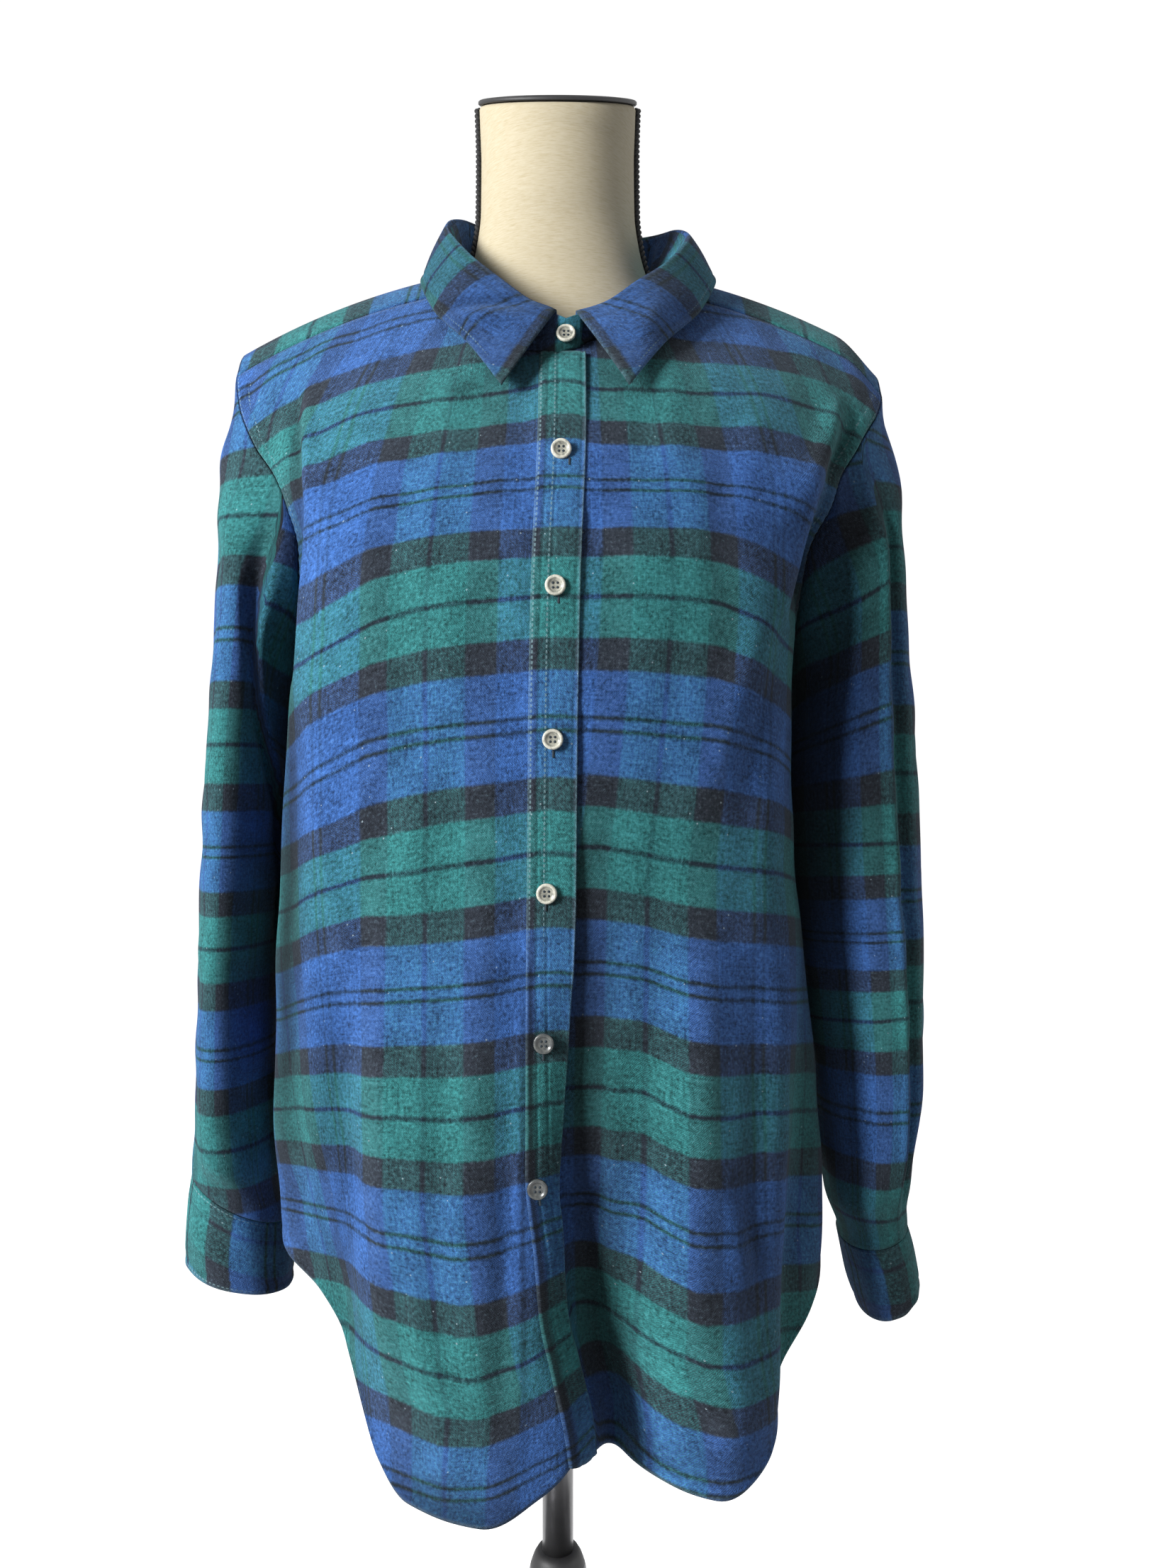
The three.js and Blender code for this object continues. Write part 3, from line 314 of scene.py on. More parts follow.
def grid_normals(points, ring):
    if ring:
        around = np.roll(points, -1, axis=1) - np.roll(points, 1, axis=1)
    else:
        around = np.gradient(points, axis=1)
    n = np.cross(around, np.gradient(points, axis=0))
    size = np.linalg.norm(n, axis=-1, keepdims=True)
    n = n / np.maximum(size, 1e-9)
    middle = points.mean(axis=1, keepdims=True) if ring else np.array([0, 0, -60.0])
    outward = (points - middle) if ring else points * [1, 1, 0] + [0, 0, 60]
    return n, (n * outward).sum() < 0


def cloth(name, points, u, v, ring=False, thick=THICK, wear_and_highlight=None, lift=None, seam=None, shade=None):
    """A sheet of cloth as a thin shell: its outer face goes through the grid of
    points (rows, columns, 3), and u and v are each point's place along the weft and
    the warp, in mm. A ring's u and v have one more column, where it closes. Seam is
    the distance from the nearest line of stitches and the run along it, and shade
    is how much of the light reaches the cloth."""
    n, flipped = grid_normals(points, ring)
    if flipped:
        n = -n
    if lift is not None:
        points = points + n * lift[..., None]
        n, _ = grid_normals(points, ring)
        if flipped:
            n = -n
    rows, columns = points.shape[:2]
    count = rows * columns
    vertices = np.concatenate([points.reshape(-1, 3), (points - n * thick).reshape(-1, 3)])
    if wear_and_highlight is None:
        wear_and_highlight = np.zeros_like(u)
    coords = np.stack([u, v, wear_and_highlight], -1)
    if seam is None:
        seam = (np.full(u.shape, NO_STITCH), 0 * u)
    if shade is None:
        shade = np.ones_like(u)
    details = np.stack([seam[0] + 0 * u, seam[1] + 0 * u, shade + 0 * u], -1)
    wide = coords.shape[1]
    i, j = np.meshgrid(np.arange(rows - 1), np.arange(columns if ring else columns - 1), indexing="ij")
    i, j = i.ravel(), j.ravel()
    corners = [(i, j), (i, j + 1), (i + 1, j + 1), (i + 1, j)]
    outer = np.stack([a * columns + b % columns for a, b in corners], -1)
    outer_uv = np.stack([a * wide + b for a, b in corners], -1)
    rims, rims_uv = [], []

    def rim(a, b):
        """Joins a border run from the outer to the inner face."""
        va, vb = a[0] * columns + a[1] % columns, b[0] * columns + b[1] % columns
        ua, ub = a[0] * wide + a[1], b[0] * wide + b[1]
        rims.append(np.stack([vb, va, va + count, vb + count], -1))
        rims_uv.append(np.stack([ub, ua, ua, ub], -1))

    k = np.arange(columns if ring else columns - 1)
    rim((0 * k, k), (0 * k, k + 1))
    rim((0 * k + rows - 1, k + 1), (0 * k + rows - 1, k))
    if not ring:
        m = np.arange(rows - 1)
        rim((m + 1, 0 * m), (m, 0 * m))
        rim((m, 0 * m + columns - 1), (m + 1, 0 * m + columns - 1))
    faces = np.concatenate([outer, outer[:, ::-1] + count, *rims])
    faces_uv = np.concatenate([outer_uv, outer_uv[:, ::-1], *rims_uv])
    if flipped:
        faces, faces_uv = faces[:, ::-1], faces_uv[:, ::-1]
    mesh = bpy.data.meshes.new(name)
    mesh.from_pydata(vertices * MM, [], faces.tolist())
    attribute = mesh.attributes.new("cloth", "FLOAT_VECTOR", "CORNER")
    attribute.data.foreach_set("vector", coords.reshape(-1, 3)[faces_uv.ravel()].ravel())
    attribute = mesh.attributes.new("details", "FLOAT_VECTOR", "CORNER")
    attribute.data.foreach_set("vector", details.reshape(-1, 3)[faces_uv.ravel()].ravel())
    mesh.polygons.foreach_set("use_smooth", np.ones(len(faces), bool))
    mesh.update()
    obj = bpy.data.objects.new(name, mesh)
    bpy.context.collection.objects.link(obj)
    return obj


def nearest_line(away, lines):
    """The distance from the nearest of some lines, each at a distance of its own."""
    return np.min([np.abs(away - at) for at in lines], axis=0)


def solid(name, vertices, faces, material, slot, replaces=()):
    mesh = bpy.data.meshes.new(name)
    mesh.from_pydata(np.asarray(vertices) * MM, [], [list(map(int, face)) for face in faces])
    mesh.polygons.foreach_set("use_smooth", np.ones(len(faces), bool))
    mesh.update()
    obj = bpy.data.objects.new(name, mesh)
    bpy.context.collection.objects.link(obj)
    mesh.materials.append(material)
    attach(obj, "root")
    if replaces:
        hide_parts(*replaces)
    return obj


def ring_faces(rings, around, start=0):
    faces = []
    for i in range(rings - 1):
        for k in range(around):
            a, b = start + i * around + k, start + i * around + (k + 1) % around
            faces.append((a, b, b + around, a + around))
    return faces


# Materials


def srgb(red, green, blue):
    """An 8-bit display colour as Blender's linear one."""
    out = []
    for part in (red, green, blue):
        c = part / 255
        out.append(c / 12.92 if c <= 0.04045 else ((c + 0.055) / 1.055) ** 2.4)
    return (*out, 1)


class Nodes:
    """Short-hand for building a material's nodes."""

    def __init__(self, name):
        self.material = bpy.data.materials.new(name)
        self.material.use_nodes = True
        self.tree = self.material.node_tree
        self.shader = self.tree.nodes["Principled BSDF"]

    def node(self, kind, **settings):
        node = self.tree.nodes.new(kind)
        for key, value in settings.items():
            setattr(node, key, value)
        return node

    def link(self, source, socket):
        if isinstance(source, (int, float, tuple)):
            socket.default_value = source
        else:
            self.tree.links.new(source, socket)

    def math(self, operation, a, b=0.0, c=0.0):
        node = self.node("ShaderNodeMath", operation=operation)
        for value, socket in zip((a, b, c), node.inputs):
            self.link(value, socket)
        return node.outputs[0]

    def blend(self, kind, factor, a, b):
        node = self.node("ShaderNodeMix", data_type="RGBA", blend_type=kind)
        self.link(factor, node.inputs[0])
        self.link(a, node.inputs[6])
        self.link(b, node.inputs[7])
        return node.outputs[2]

    def noise(self, vector, scale, detail=2.0, roughness=0.5):
        node = self.node("ShaderNodeTexNoise")
        self.link(vector, node.inputs["Vector"])
        node.inputs["Scale"].default_value = scale
        node.inputs["Detail"].default_value = detail
        node.inputs["Roughness"].default_value = roughness
        return node.outputs["Fac"]

    def stretched(self, vector, scale):
        node = self.node("ShaderNodeMapping")
        self.link(vector, node.inputs["Vector"])
        node.inputs["Scale"].default_value = scale
        return node.outputs[0]

    def ramp(self, factor, stops, interpolation="LINEAR"):
        node = self.node("ShaderNodeValToRGB")
        ramp = node.color_ramp
        ramp.interpolation = interpolation
        while len(ramp.elements) < len(stops):
            ramp.elements.new(0.5)
        for element, (position, colour) in zip(ramp.elements, stops):
            element.position = position
            element.color = colour
        self.link(factor, node.inputs[0])
        return node.outputs[0]

    def between(self, value, low, high, to_low=0.0, to_high=1.0):
        node = self.node("ShaderNodeMapRange")
        for source, socket in zip((value, low, high, to_low, to_high), node.inputs):
            self.link(source, socket)
        return node.outputs[0]

    def set(self, **sockets):
        for name, value in sockets.items():
            self.link(value, self.shader.inputs[name.replace("_", " ")])

    def bump(self, height, distance, strength=1.0):
        node = self.node("ShaderNodeBump")
        self.link(height, node.inputs["Height"])
        node.inputs["Distance"].default_value = distance
        node.inputs["Strength"].default_value = strength
        self.link(node.outputs[0], self.shader.inputs["Normal"])


# One repeat of the plaid, in mm: the same sequence across and along
REPEAT = 146
BAND_EDGE = 1.6
GREEN = srgb(45, 110, 111)
BLUE = srgb(50, 88, 149)
DARK = srgb(39, 44, 53)
LINE = srgb(20, 34, 44)
BANDS = [
    # where a band starts, and its colour
    (0, DARK), (9.5, GREEN), (32.2, LINE), (35.3, GREEN), (58, DARK),
    (76.5, BLUE), (101.5, LINE), (103.9, BLUE), (109.1, LINE), (111.5, BLUE), (136.5, DARK),
]
WEFT_SHARE = 0.74
TWILL_PITCH = 1.3
STITCH_PITCH = 3.2
STITCH_HALF = 0.45


def band_stops():
    stops = []
    for k, (start, colour) in enumerate(BANDS):
        if k:
            stops.append(((start - BAND_EDGE / 2) / REPEAT, BANDS[k - 1][1]))
            stops.append(((start + BAND_EDGE / 2) / REPEAT, colour))
        else:
            stops.append((0, colour))
    return stops


def flannel_material(name):
    m = Nodes(name)
    attribute = m.node("ShaderNodeAttribute", attribute_name="cloth")
    place = attribute.outputs["Vector"]
    parts = m.node("ShaderNodeSeparateXYZ")
    m.link(place, parts.inputs[0])
    u, v, wear_and_highlight = parts.outputs
    wander = m.noise(place, 0.35, 1.0)
    u = m.math("ADD", u, m.math("MULTIPLY", m.math("SUBTRACT", wander, 0.5), 1.2))
    v = m.math("ADD", v, m.math("MULTIPLY", m.math("SUBTRACT", wander, 0.5), 1.6))
    stops = band_stops()
    warp = m.ramp(m.math("FRACT", m.math("DIVIDE", u, float(REPEAT))), stops)
    weft = m.ramp(m.math("FRACT", m.math("DIVIDE", v, float(REPEAT))), stops)
    twill = m.math("SINE", m.math("MULTIPLY", m.math("ADD", u, v), 2 * math.pi / TWILL_PITCH))
    nap = m.noise(place, 0.42, 3.0, 0.75)
    patches = m.noise(place, 0.05, 2.0)
    ends = m.noise(m.stretched(place, (0.9, 0.08, 0)), 1.0, 2.0)
    picks = m.noise(m.stretched(place, (0.08, 0.9, 0)), 1.0, 2.0)
    share = m.math("MULTIPLY_ADD", twill, 0.18, 1 - WEFT_SHARE)
    share = m.math("MULTIPLY_ADD", m.math("SUBTRACT", nap, 0.5), 0.5, share)
    share = m.math("MULTIPLY_ADD", m.math("SUBTRACT", ends, 0.5), 0.35, share)
    colour = m.blend("MIX", share, weft, warp)
    threads = m.math("MULTIPLY", m.math("ADD", ends, picks), 0.5)
    mottle = m.math("MULTIPLY_ADD", nap, 0.9, m.math("MULTIPLY", patches, 0.3))
    mottle = m.math("MULTIPLY_ADD", threads, 0.45, mottle)
    tone = m.between(mottle, 0.62, 1.04, 0.3, 1.9)
    scaled = m.node("ShaderNodeVectorMath", operation="SCALE")
    m.link(colour, scaled.inputs[0])
    m.link(tone, scaled.inputs["Scale"])
    raised = m.between(nap, 0.56, 0.72, 0.0, 0.16)
    colour = m.blend("MIX", raised, scaled.outputs[0], srgb(120, 158, 170))
    # The third channel lightens the cloth: real wear at rubbed edges and hems, and a painted highlight on
    # the placket's fold edge.
    wear_and_highlight_mix = m.math("MULTIPLY", wear_and_highlight, m.between(nap, 0.35, 0.65, 0.3, 1.0))
    colour = m.blend("MIX", wear_and_highlight_mix, colour, srgb(120, 158, 172))
    specks = m.node("ShaderNodeTexVoronoi", feature="F1")
    m.link(place, specks.inputs["Vector"])
    specks.inputs["Scale"].default_value = 0.09
    lint = m.math("LESS_THAN", specks.outputs["Distance"], 0.05)
    colour = m.blend("MIX", m.math("MULTIPLY", lint, 0.5), colour, srgb(170, 190, 200))
    details = m.node("ShaderNodeAttribute", attribute_name="details")
    split = m.node("ShaderNodeSeparateXYZ")
    m.link(details.outputs["Vector"], split.inputs[0])
    away, run, lit = split.outputs
    dash = m.math("SINE", m.math("MULTIPLY", run, 2 * math.pi / STITCH_PITCH))
    on_line = m.between(away, STITCH_HALF * 0.6, STITCH_HALF * 1.5, 1.0, 0.0)
    thread = m.math("MULTIPLY", on_line, m.between(dash, -0.5, 0.1, 0.0, 0.6))
    colour = m.blend("MIX", thread, colour, srgb(128, 158, 166))
    dimmed = m.node("ShaderNodeVectorMath", operation="SCALE")
    m.link(colour, dimmed.inputs[0])
    m.link(lit, dimmed.inputs["Scale"])
    m.set(Base_Color=dimmed.outputs[0], Roughness=0.92)
    m.set(Sheen_Weight=0.15, Sheen_Roughness=0.5)
    m.set(Specular_IOR_Level=0.12)
    m.shader.inputs["Sheen Tint"].default_value = srgb(190, 215, 235)
    height = m.math("MULTIPLY_ADD", twill, 0.2, m.math("MULTIPLY", nap, 2.0))
    m.bump(height, 0.0004, 0.9)
    return m.material


FLANNEL = flannel_material("flannel")


def finish_cloth(obj, cad_name):
    obj.data.materials.append(FLANNEL)
    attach(obj, "root")
    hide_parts(cad_name)


# Where the stripes run. The photograph's bands sag and rise with the cloth, so
# a table gives, by degrees from the front and by height, how far the weft's count
# is from 1000 less the height.
WEFT = {
    RIGHT: ([2, 10, 18, 26, 34, 42, 50, 58, 68, 80, 90], [
        (260, 6, -4, -16, -24, -27, -29, -29, -29, -30, -35, -40),
        (300, 3, -8, -22, -25, -25, -27, -26, -26, -28, -33, -39),
        (340, -5, -18, -28, -25, -22, -25, -21, -21, -25, -32, -39),
        (380, -12, -23, -28, -24, -20, -18, -15, -17, -23, -33, -41),
        (420, -16, -25, -28, -24, -22, -20, -19, -19, -26, -36, -44),
        (460, -16, -23, -24, -22, -23, -23, -22, -25, -33, -42, -49),
        (500, -15, -21, -24, -23, -25, -25, -27, -34, -42, -49, -54),
        (560, -14, -19, -22, -24, -27, -29, -37, -46, -52, -57, -60),
        (620, -12, -17, -21, -24, -25, -33, -45, -51, -55, -60, -62),
        (680, -9, -13, -16, -21, -27, -38, -47, -51, -55, -58, -60),
        (740, -5, -8, -10, -13, -18, -29, -40, -46, -50, -53, -56),
        (800, -2, -4, -6, -10, -17, -29, -38, -40, -42, -45, -48),
        (850, -3, -4, -5, -8, -13, -22, -28, -29, -32, -37, -42),
        (900, -6, -8, -12, -14, -15, -24, -26, -24, -26, -31, -35),
        (940, -9, -15, -18, -15, -13, -18, -21, -21, -22, -27, -31),
        (980, -8, -13, -14, -11, -10, -12, -15, -17, -19, -23, -28),
        (1020, -5, -8, -9, -8, -7, -9, -11, -13, -16, -20, -25),
        (1052, -3, -5, -5, -5, -5, -6, -8, -11, -14, -18, -23),
    ]),
    LEFT: ([2, 10, 18, 26, 34, 42, 50, 58, 68, 80, 90], [
        (260, -24, -29, -32, -29, -26, -27, -29, -31, -35, -40, -43),
        (300, -14, -19, -25, -25, -24, -26, -28, -30, -34, -39, -43),
        (340, -5, -7, -18, -25, -28, -28, -28, -30, -35, -40, -43),
        (380, 0, -4, -16, -25, -26, -25, -27, -31, -36, -41, -44),
        (420, -3, -5, -12, -23, -25, -23, -27, -33, -39, -42, -45),
        (460, -9, -9, -11, -22, -25, -25, -29, -35, -40, -43, -45),
        (500, -10, -9, -10, -23, -26, -26, -30, -35, -40, -43, -45),
        (560, -8, -7, -9, -20, -25, -27, -31, -34, -37, -41, -43),
        (620, -8, -8, -11, -18, -22, -24, -27, -30, -34, -38, -40),
        (680, -6, -6, -10, -14, -17, -20, -23, -27, -32, -35, -36),
        (740, -5, -6, -7, -9, -10, -15, -21, -26, -30, -32, -32),
        (800, -3, -2, -2, -3, -5, -13, -22, -26, -27, -27, -26),
        (850, -3, -2, -2, -2, -4, -11, -18, -21, -21, -19, -18),
        (900, -8, -8, -7, -6, -5, -6, -8, -9, -9, -9, -8),
        (940, -12, -12, -10, -5, 1, 6, 6, 4, 3, 2, 1),
        (980, -11, -11, -7, 1, 13, 20, 20, 17, 15, 12, 11),
        (1020, -8, -5, 0, 9, 21, 29, 30, 28, 25, 22, 20),
        (1052, -3, 0, 6, 15, 25, 32, 34, 34, 32, 29, 26),
    ]),
}
WEFT_BACK = -34
GREEN_LINE = {RIGHT: 65, LEFT: 74}
GREEN_COUNT = 33.75
# Height, how far the left front's columns have drifted to the middle
LEFT_DRIFT = [(600, 16), (644, 16), (696, 11), (775, 4), (860, 0), (1060, 0)]
left_drift = curve(LEFT_DRIFT)


def weft_count(angle, height):
    """The weft's running length at a point of the body."""
    side_count = {
        side: table_at(WEFT[side], np.abs(angle), height) for side in (RIGHT, LEFT)
    }
    off = np.where(angle < 0, side_count[RIGHT], side_count[LEFT])
    off = lerp(off, WEFT_BACK, smooth((np.abs(angle) - 90) / 60))
    return 1000 - height + softened(off, 6)


def warp_count(side, angle, levels):
    """The warp's running length across a front, from the middle of the body."""
    bare = body_point(angle, levels, folded=0)
    out = np.zeros(angle.shape)
    across = along(bare, 1) * side
    x = bare[..., 0]
    for i in range(len(out)):
        out[i] = across[i] - np.interp(0, x[i][::side], across[i][::side])
    if side == LEFT:
        out = out + left_drift(levels)
    return GREEN_COUNT + (side * out - GREEN_LINE[side])


# Fronts
FRONT_COLUMNS = 130
ARM_ROWS = 84
HEM_ROLL = 7
SIDE_ROWS = 160

FRONT_CREASES = {
    # x and height at both ends, width, depth
    RIGHT: [
        (-163, 975, -155, 890, 6, 3.5), (-155, 900, -164, 765, 6, 3.5),
        (-172, 960, -164, 880, 6, -4), (-164, 890, -173, 780, 6, -4),
        (-128, 590, -131, 366, 11, -6), (-104, 640, -100, 330, 11, 4),
        (-150, 700, -120, 560, 9, 2.5), (-152, 620, -150, 420, 9, 3),
        (-60, 980, -72, 860, 12, 1.6), (-92, 800, -74, 640, 10, -1.6),
        (-40, 700, -46, 500, 12, 1.8), (-66, 560, -70, 340, 10, -3),
        (-22, 560, -30, 330, 8, -3), (-122, 880, -96, 760, 10, 1.8),
        (-84, 420, -60, 290, 9, 2.4), (-140, 500, -110, 420, 7, -2),
    ],
    LEFT: [
        (188, 960, 165, 900, 7, 5), (166, 905, 145, 812, 7, 5),
        (198, 950, 176, 890, 6, -5), (176, 890, 155, 815, 6, -7),
        (146, 800, 118, 690, 9, -3.5), (128, 810, 96, 700, 9, 2.6),
        (94, 640, 84, 330, 13, 4), (60, 600, 56, 380, 10, -3),
        (128, 600, 122, 380, 9, -4), (150, 640, 146, 420, 8, 3),
        (70, 960, 84, 850, 12, 1.8), (112, 940, 96, 830, 10, -2),
        (46, 880, 52, 720, 11, 1.6), (40, 560, 36, 400, 7, 3),
        (104, 460, 130, 360, 8, 2.6), (76, 400, 92, 300, 8, -2.6),
    ],
}
# Where little light comes in: the same lines, and the share of the light lost
FRONT_SHADE = {
    RIGHT: [
        (-171, 800, -174, 420, 13, 0.85), (-168, 905, -176, 790, 8, 0.55),
        (-17.5, 600, -16.5, 300, 2.4, 0.7), (-172, 960, -166, 890, 5, 0.35),
        (-130, 590, -133, 366, 9, 0.18), (-30, 330, -26, 280, 8, 0.2),
        (-48, 966, -20, 975, 10, 0.45), (-70, 950, -44, 958, 6, 0.4),
        (-118, 276, -10, 270, 18, 0.62), (-104, 860, -90, 700, 12, 0.12),
        (-70, 640, -76, 340, 9, 0.14), (-36, 600, -40, 330, 7, 0.2),
    ],
    LEFT: [
        (24, 700, 36, 290, 17, 0.6), (60, 296, 125, 296, 12, 0.35),
        (62, 640, 60, 420, 8, 0.18), (178, 885, 153, 812, 9, 0.68),
        (108, 480, 112, 370, 26, 0.4), (166, 790, 172, 420, 13, 0.45),
        (150, 800, 120, 690, 8, 0.25), (197, 955, 178, 885, 7, 0.5),
        (30, 966, 60, 958, 10, 0.45), (128, 600, 122, 380, 8, 0.25),
    ],
}
SEAM_ALLOWANCE = 10
STITCH = {"width": 0.8, "depth": 0.5}
# How far inside the allowance's and the hem's edge their stitches run
STITCH_INSET = {"arm": 1.6, "hem": 1}
ARM_STITCHES = (STITCH_INSET["arm"], SEAM_ALLOWANCE - STITCH_INSET["arm"])
# Creases fade out this near to a piece's border, the seam's relief at the top
BORDER_FADE = 12
SEAM_FADE = 4
HEM_WEAR = {"amount": 0.25, "width": 1.5}
PUCKER = {"height": 0.45, "every": 7.5}


def stitched(away, at):
    """The dip that a line of topstitching pulls, at a distance from an edge."""
    return -STITCH["depth"] * np.exp(-(((away - at) / STITCH["width"]) ** 2))


def seam_relief(points, levels):
    """The folded allowance beside the armhole, and the hem."""
    across = along(points, 1)
    down = along(points, 0)
    edge = across[:, -1:] - across
    hem = down[-1:] - down
    above = smooth((levels - UNDERARM_LEVEL) / 10)
    pad = smooth((SEAM_ALLOWANCE - edge) / 1.5) * smooth(edge / 1.5) * above
    roll = smooth((HEM_ROLL - hem) / 1.2) * smooth(hem / 1.0)
    pucker = PUCKER["height"] * np.sin(2 * math.pi * levels / PUCKER["every"]) * above
    pucker = pucker * np.exp(-(((edge - SEAM_ALLOWANCE / 2) / 5) ** 2)) * smooth(edge / 2)
    relief = 0.9 * pad + pucker + 0.8 * roll
    relief = relief + stitched(edge, SEAM_ALLOWANCE - STITCH_INSET["arm"]) * above
    return relief + stitched(hem, HEM_ROLL - STITCH_INSET["hem"])


def border_fade(points):
    """0 at the sides and the top of a grid, and 1 from a little way in."""
    across = along(points, 1)
    fade = smooth(across / BORDER_FADE) * smooth((across[:, -1:] - across) / BORDER_FADE)
    return fade * smooth(along(points, 0) / BORDER_FADE)


def front_grid(side):
    lap = PLACKET_TURN if side == RIGHT else LAP
    inner_edge = -PLACKET_WIDTH / 2 + 2.4 if side == RIGHT else -PLACKET_WIDTH / 2 + 3
    fraction = np.linspace(0, 1, FRONT_COLUMNS)[None, :]
    rise = np.clip(fraction / NECK_FRACTION, 0, 1) ** 2
    top = lerp(NECK_FRONT_LEVEL, FRONT_YOKE_LEVEL - SEAM_GAP, rise)
    levels = row_levels(top, hem_height[side](90 * fraction), ARM_ROWS, SIDE_ROWS)
    inner = angle_across(inner_edge, levels, side)
    outer = side * (edge_angle(levels) - ARM_SEAM_TURN)
    angle = lerp(inner, outer, fraction)
    return angle, levels, lap


def front(side):
    name = "front_right" if side == RIGHT else "front_left"
    angle, levels, lap = front_grid(side)
    points = body_point(angle, levels, lap)
    u = warp_count(side, angle, levels)
    v = weft_count(angle, levels)
    x, z = points[..., 0], points[..., 2]
    lift = creases(x, z, FRONT_CREASES[side]) + 0.5 * ripples(x, z, 11 + side, 60)
    lift = lift + 0.6 * ripples(x * 1.7, z * 0.5, 17 + side, 55)
    across, down = along(points, 1), along(points, 0)
    relief = seam_relief(points, levels) * smooth(down / SEAM_FADE)
    relief = relief * smooth(across / BORDER_FADE)
    hem_away = down[-1:] - down
    wear_and_highlight = HEM_WEAR["amount"] * np.exp(-((hem_away / HEM_WEAR["width"]) ** 2))
    arm_line = nearest_line(across[:, -1:] - across, ARM_STITCHES)
    arm_line = np.where(levels > UNDERARM_LEVEL, arm_line, NO_STITCH)
    hem_line = nearest_line(hem_away, (HEM_ROLL - STITCH_INSET["hem"],))
    seam = (np.minimum(arm_line, hem_line), np.where(arm_line < hem_line, z, x))
    shade = np.clip(1 - creases(x, z, FRONT_SHADE[side]), 0.15, 1)
    lift = lift * border_fade(points) + relief
    obj = cloth(f"{name}_cloth", points, u, v, lift=lift, wear_and_highlight=wear_and_highlight, seam=seam, shade=shade)
    finish_cloth(obj, name)


for side in (RIGHT, LEFT):
    front(side)


# Placket
PLACKET_COLUMNS = 44
# The warp's count at the placket's middle, past the green line of the fronts
PLACKET_WARP = 14.5
PLACKET_STITCHES = (1.8, 6.4, 12.5, 27.5)
PLACKET_THREADS = (1.8, 10.5)


def placket_width(height):
    narrow = PLACKET_NARROW["share"] * between(-PLACKET_NARROW["start"], -PLACKET_NARROW["full"], -height)
    return PLACKET_WIDTH * (1 - narrow)


def placket_spot(across, height, rise):
    right = angle_across(across, height, RIGHT)
    left = angle_across(across, height, LEFT)
    angle = np.where(across < 0, right, left)
    n = body_normal(angle, height)
    return body_point(angle, height) + n * np.asarray(rise)[..., None]


def placket():
    share = np.linspace(0, 1, PLACKET_COLUMNS)[None, :]
    levels = row_levels(NECK_FRONT_LEVEL - 1, 299 - 4 * share, ARM_ROWS, SIDE_ROWS)
    width = placket_width(levels)
    across = width * share - PLACKET_WIDTH / 2
    from_edge = width * share
    dip = sum(np.exp(-(((from_edge - at) / 0.9) ** 2)) for at in PLACKET_STITCHES)
    lip = smooth(from_edge / 1.6)
    rise = LAP_RISE * lip - 0.45 * dip + 0.25 * ripples(across, levels, 5, 22) * lip
    points = placket_spot(across, levels, rise)
    angle = angle_across(across, levels, RIGHT)
    v = weft_count(-np.abs(angle), levels)
    u = GREEN_COUNT + PLACKET_WARP - across
    # Lighter strips: a painted highlight on the left fold edge, and worn, frayed cloth at the right edge
    # and the bottom; from 640 mm down all of it is dimmed as painted shade, to under half at 540 mm.
    wear_and_highlight = 0.34 * np.exp(-((share / 0.035) ** 2)) + 0.6 * np.exp(-(((1 - share) / 0.04) ** 2))
    low_away = along(points, 0)[-1:] - along(points, 0)
    wear_and_highlight = wear_and_highlight + 0.8 * np.exp(-((low_away / 3) ** 2))
    wear_and_highlight = wear_and_highlight * lerp(0.45, 1, between(540, 640, levels))
    # Painted shade: from 660 mm down the light stitches fade out, and below 520 mm they are gone, since the
    # placket lies in shade there.
    stitches_hidden_in_shade = 2 * between(-660, -520, -levels)
    seam = (nearest_line(from_edge, PLACKET_THREADS) + stitches_hidden_in_shade * 0.4, levels)
    # Painted shadow: a dark strip along the placket's left edge, where it stands off the front, growing
    # from 660 mm down and full below 560 mm.
    edge_gap_shadow = np.exp(-(((from_edge - 2.6) / 1.9) ** 2)) * between(-660, -560, -levels)
    shade = 1 - 0.85 * edge_gap_shadow
    obj = cloth("placket_cloth", points, u + 0 * levels, v, wear_and_highlight=wear_and_highlight, seam=seam, shade=shade)
    finish_cloth(obj, "placket")


placket()


# Back and yoke
BACK_COLUMNS = 150
# The warp's count at the middle of the back
BACK_WARP_MIDDLE = 72.8


def back():
    fraction = np.linspace(-1, 1, BACK_COLUMNS)[None, :]
    turn = 180 - 90 * np.abs(fraction)
    hem = np.where(fraction < 0, hem_height[RIGHT](turn), hem_height[LEFT](turn))
    levels = row_levels(BACK_YOKE_LEVEL - SEAM_GAP, hem, 60, SIDE_ROWS)
    side = np.where(fraction < 0, RIGHT, LEFT)
    angle = side * (180 - np.abs(fraction) * (edge_angle(levels) - ARM_SEAM_TURN))
    points = body_point(angle, levels)
    across = along(points, 1)
    u = BACK_WARP_MIDDLE + across - across[:, -1:] / 2
    v = weft_count(angle, levels)
    x, z = points[..., 0], points[..., 2]
    lift = 0.6 * ripples(x, z, 21, 60) + 0.6 * ripples(x * 1.7, z * 0.5, 23, 55)
    obj = cloth("back_cloth", points, u, v, lift=lift * border_fade(points))
    finish_cloth(obj, "back")


back()

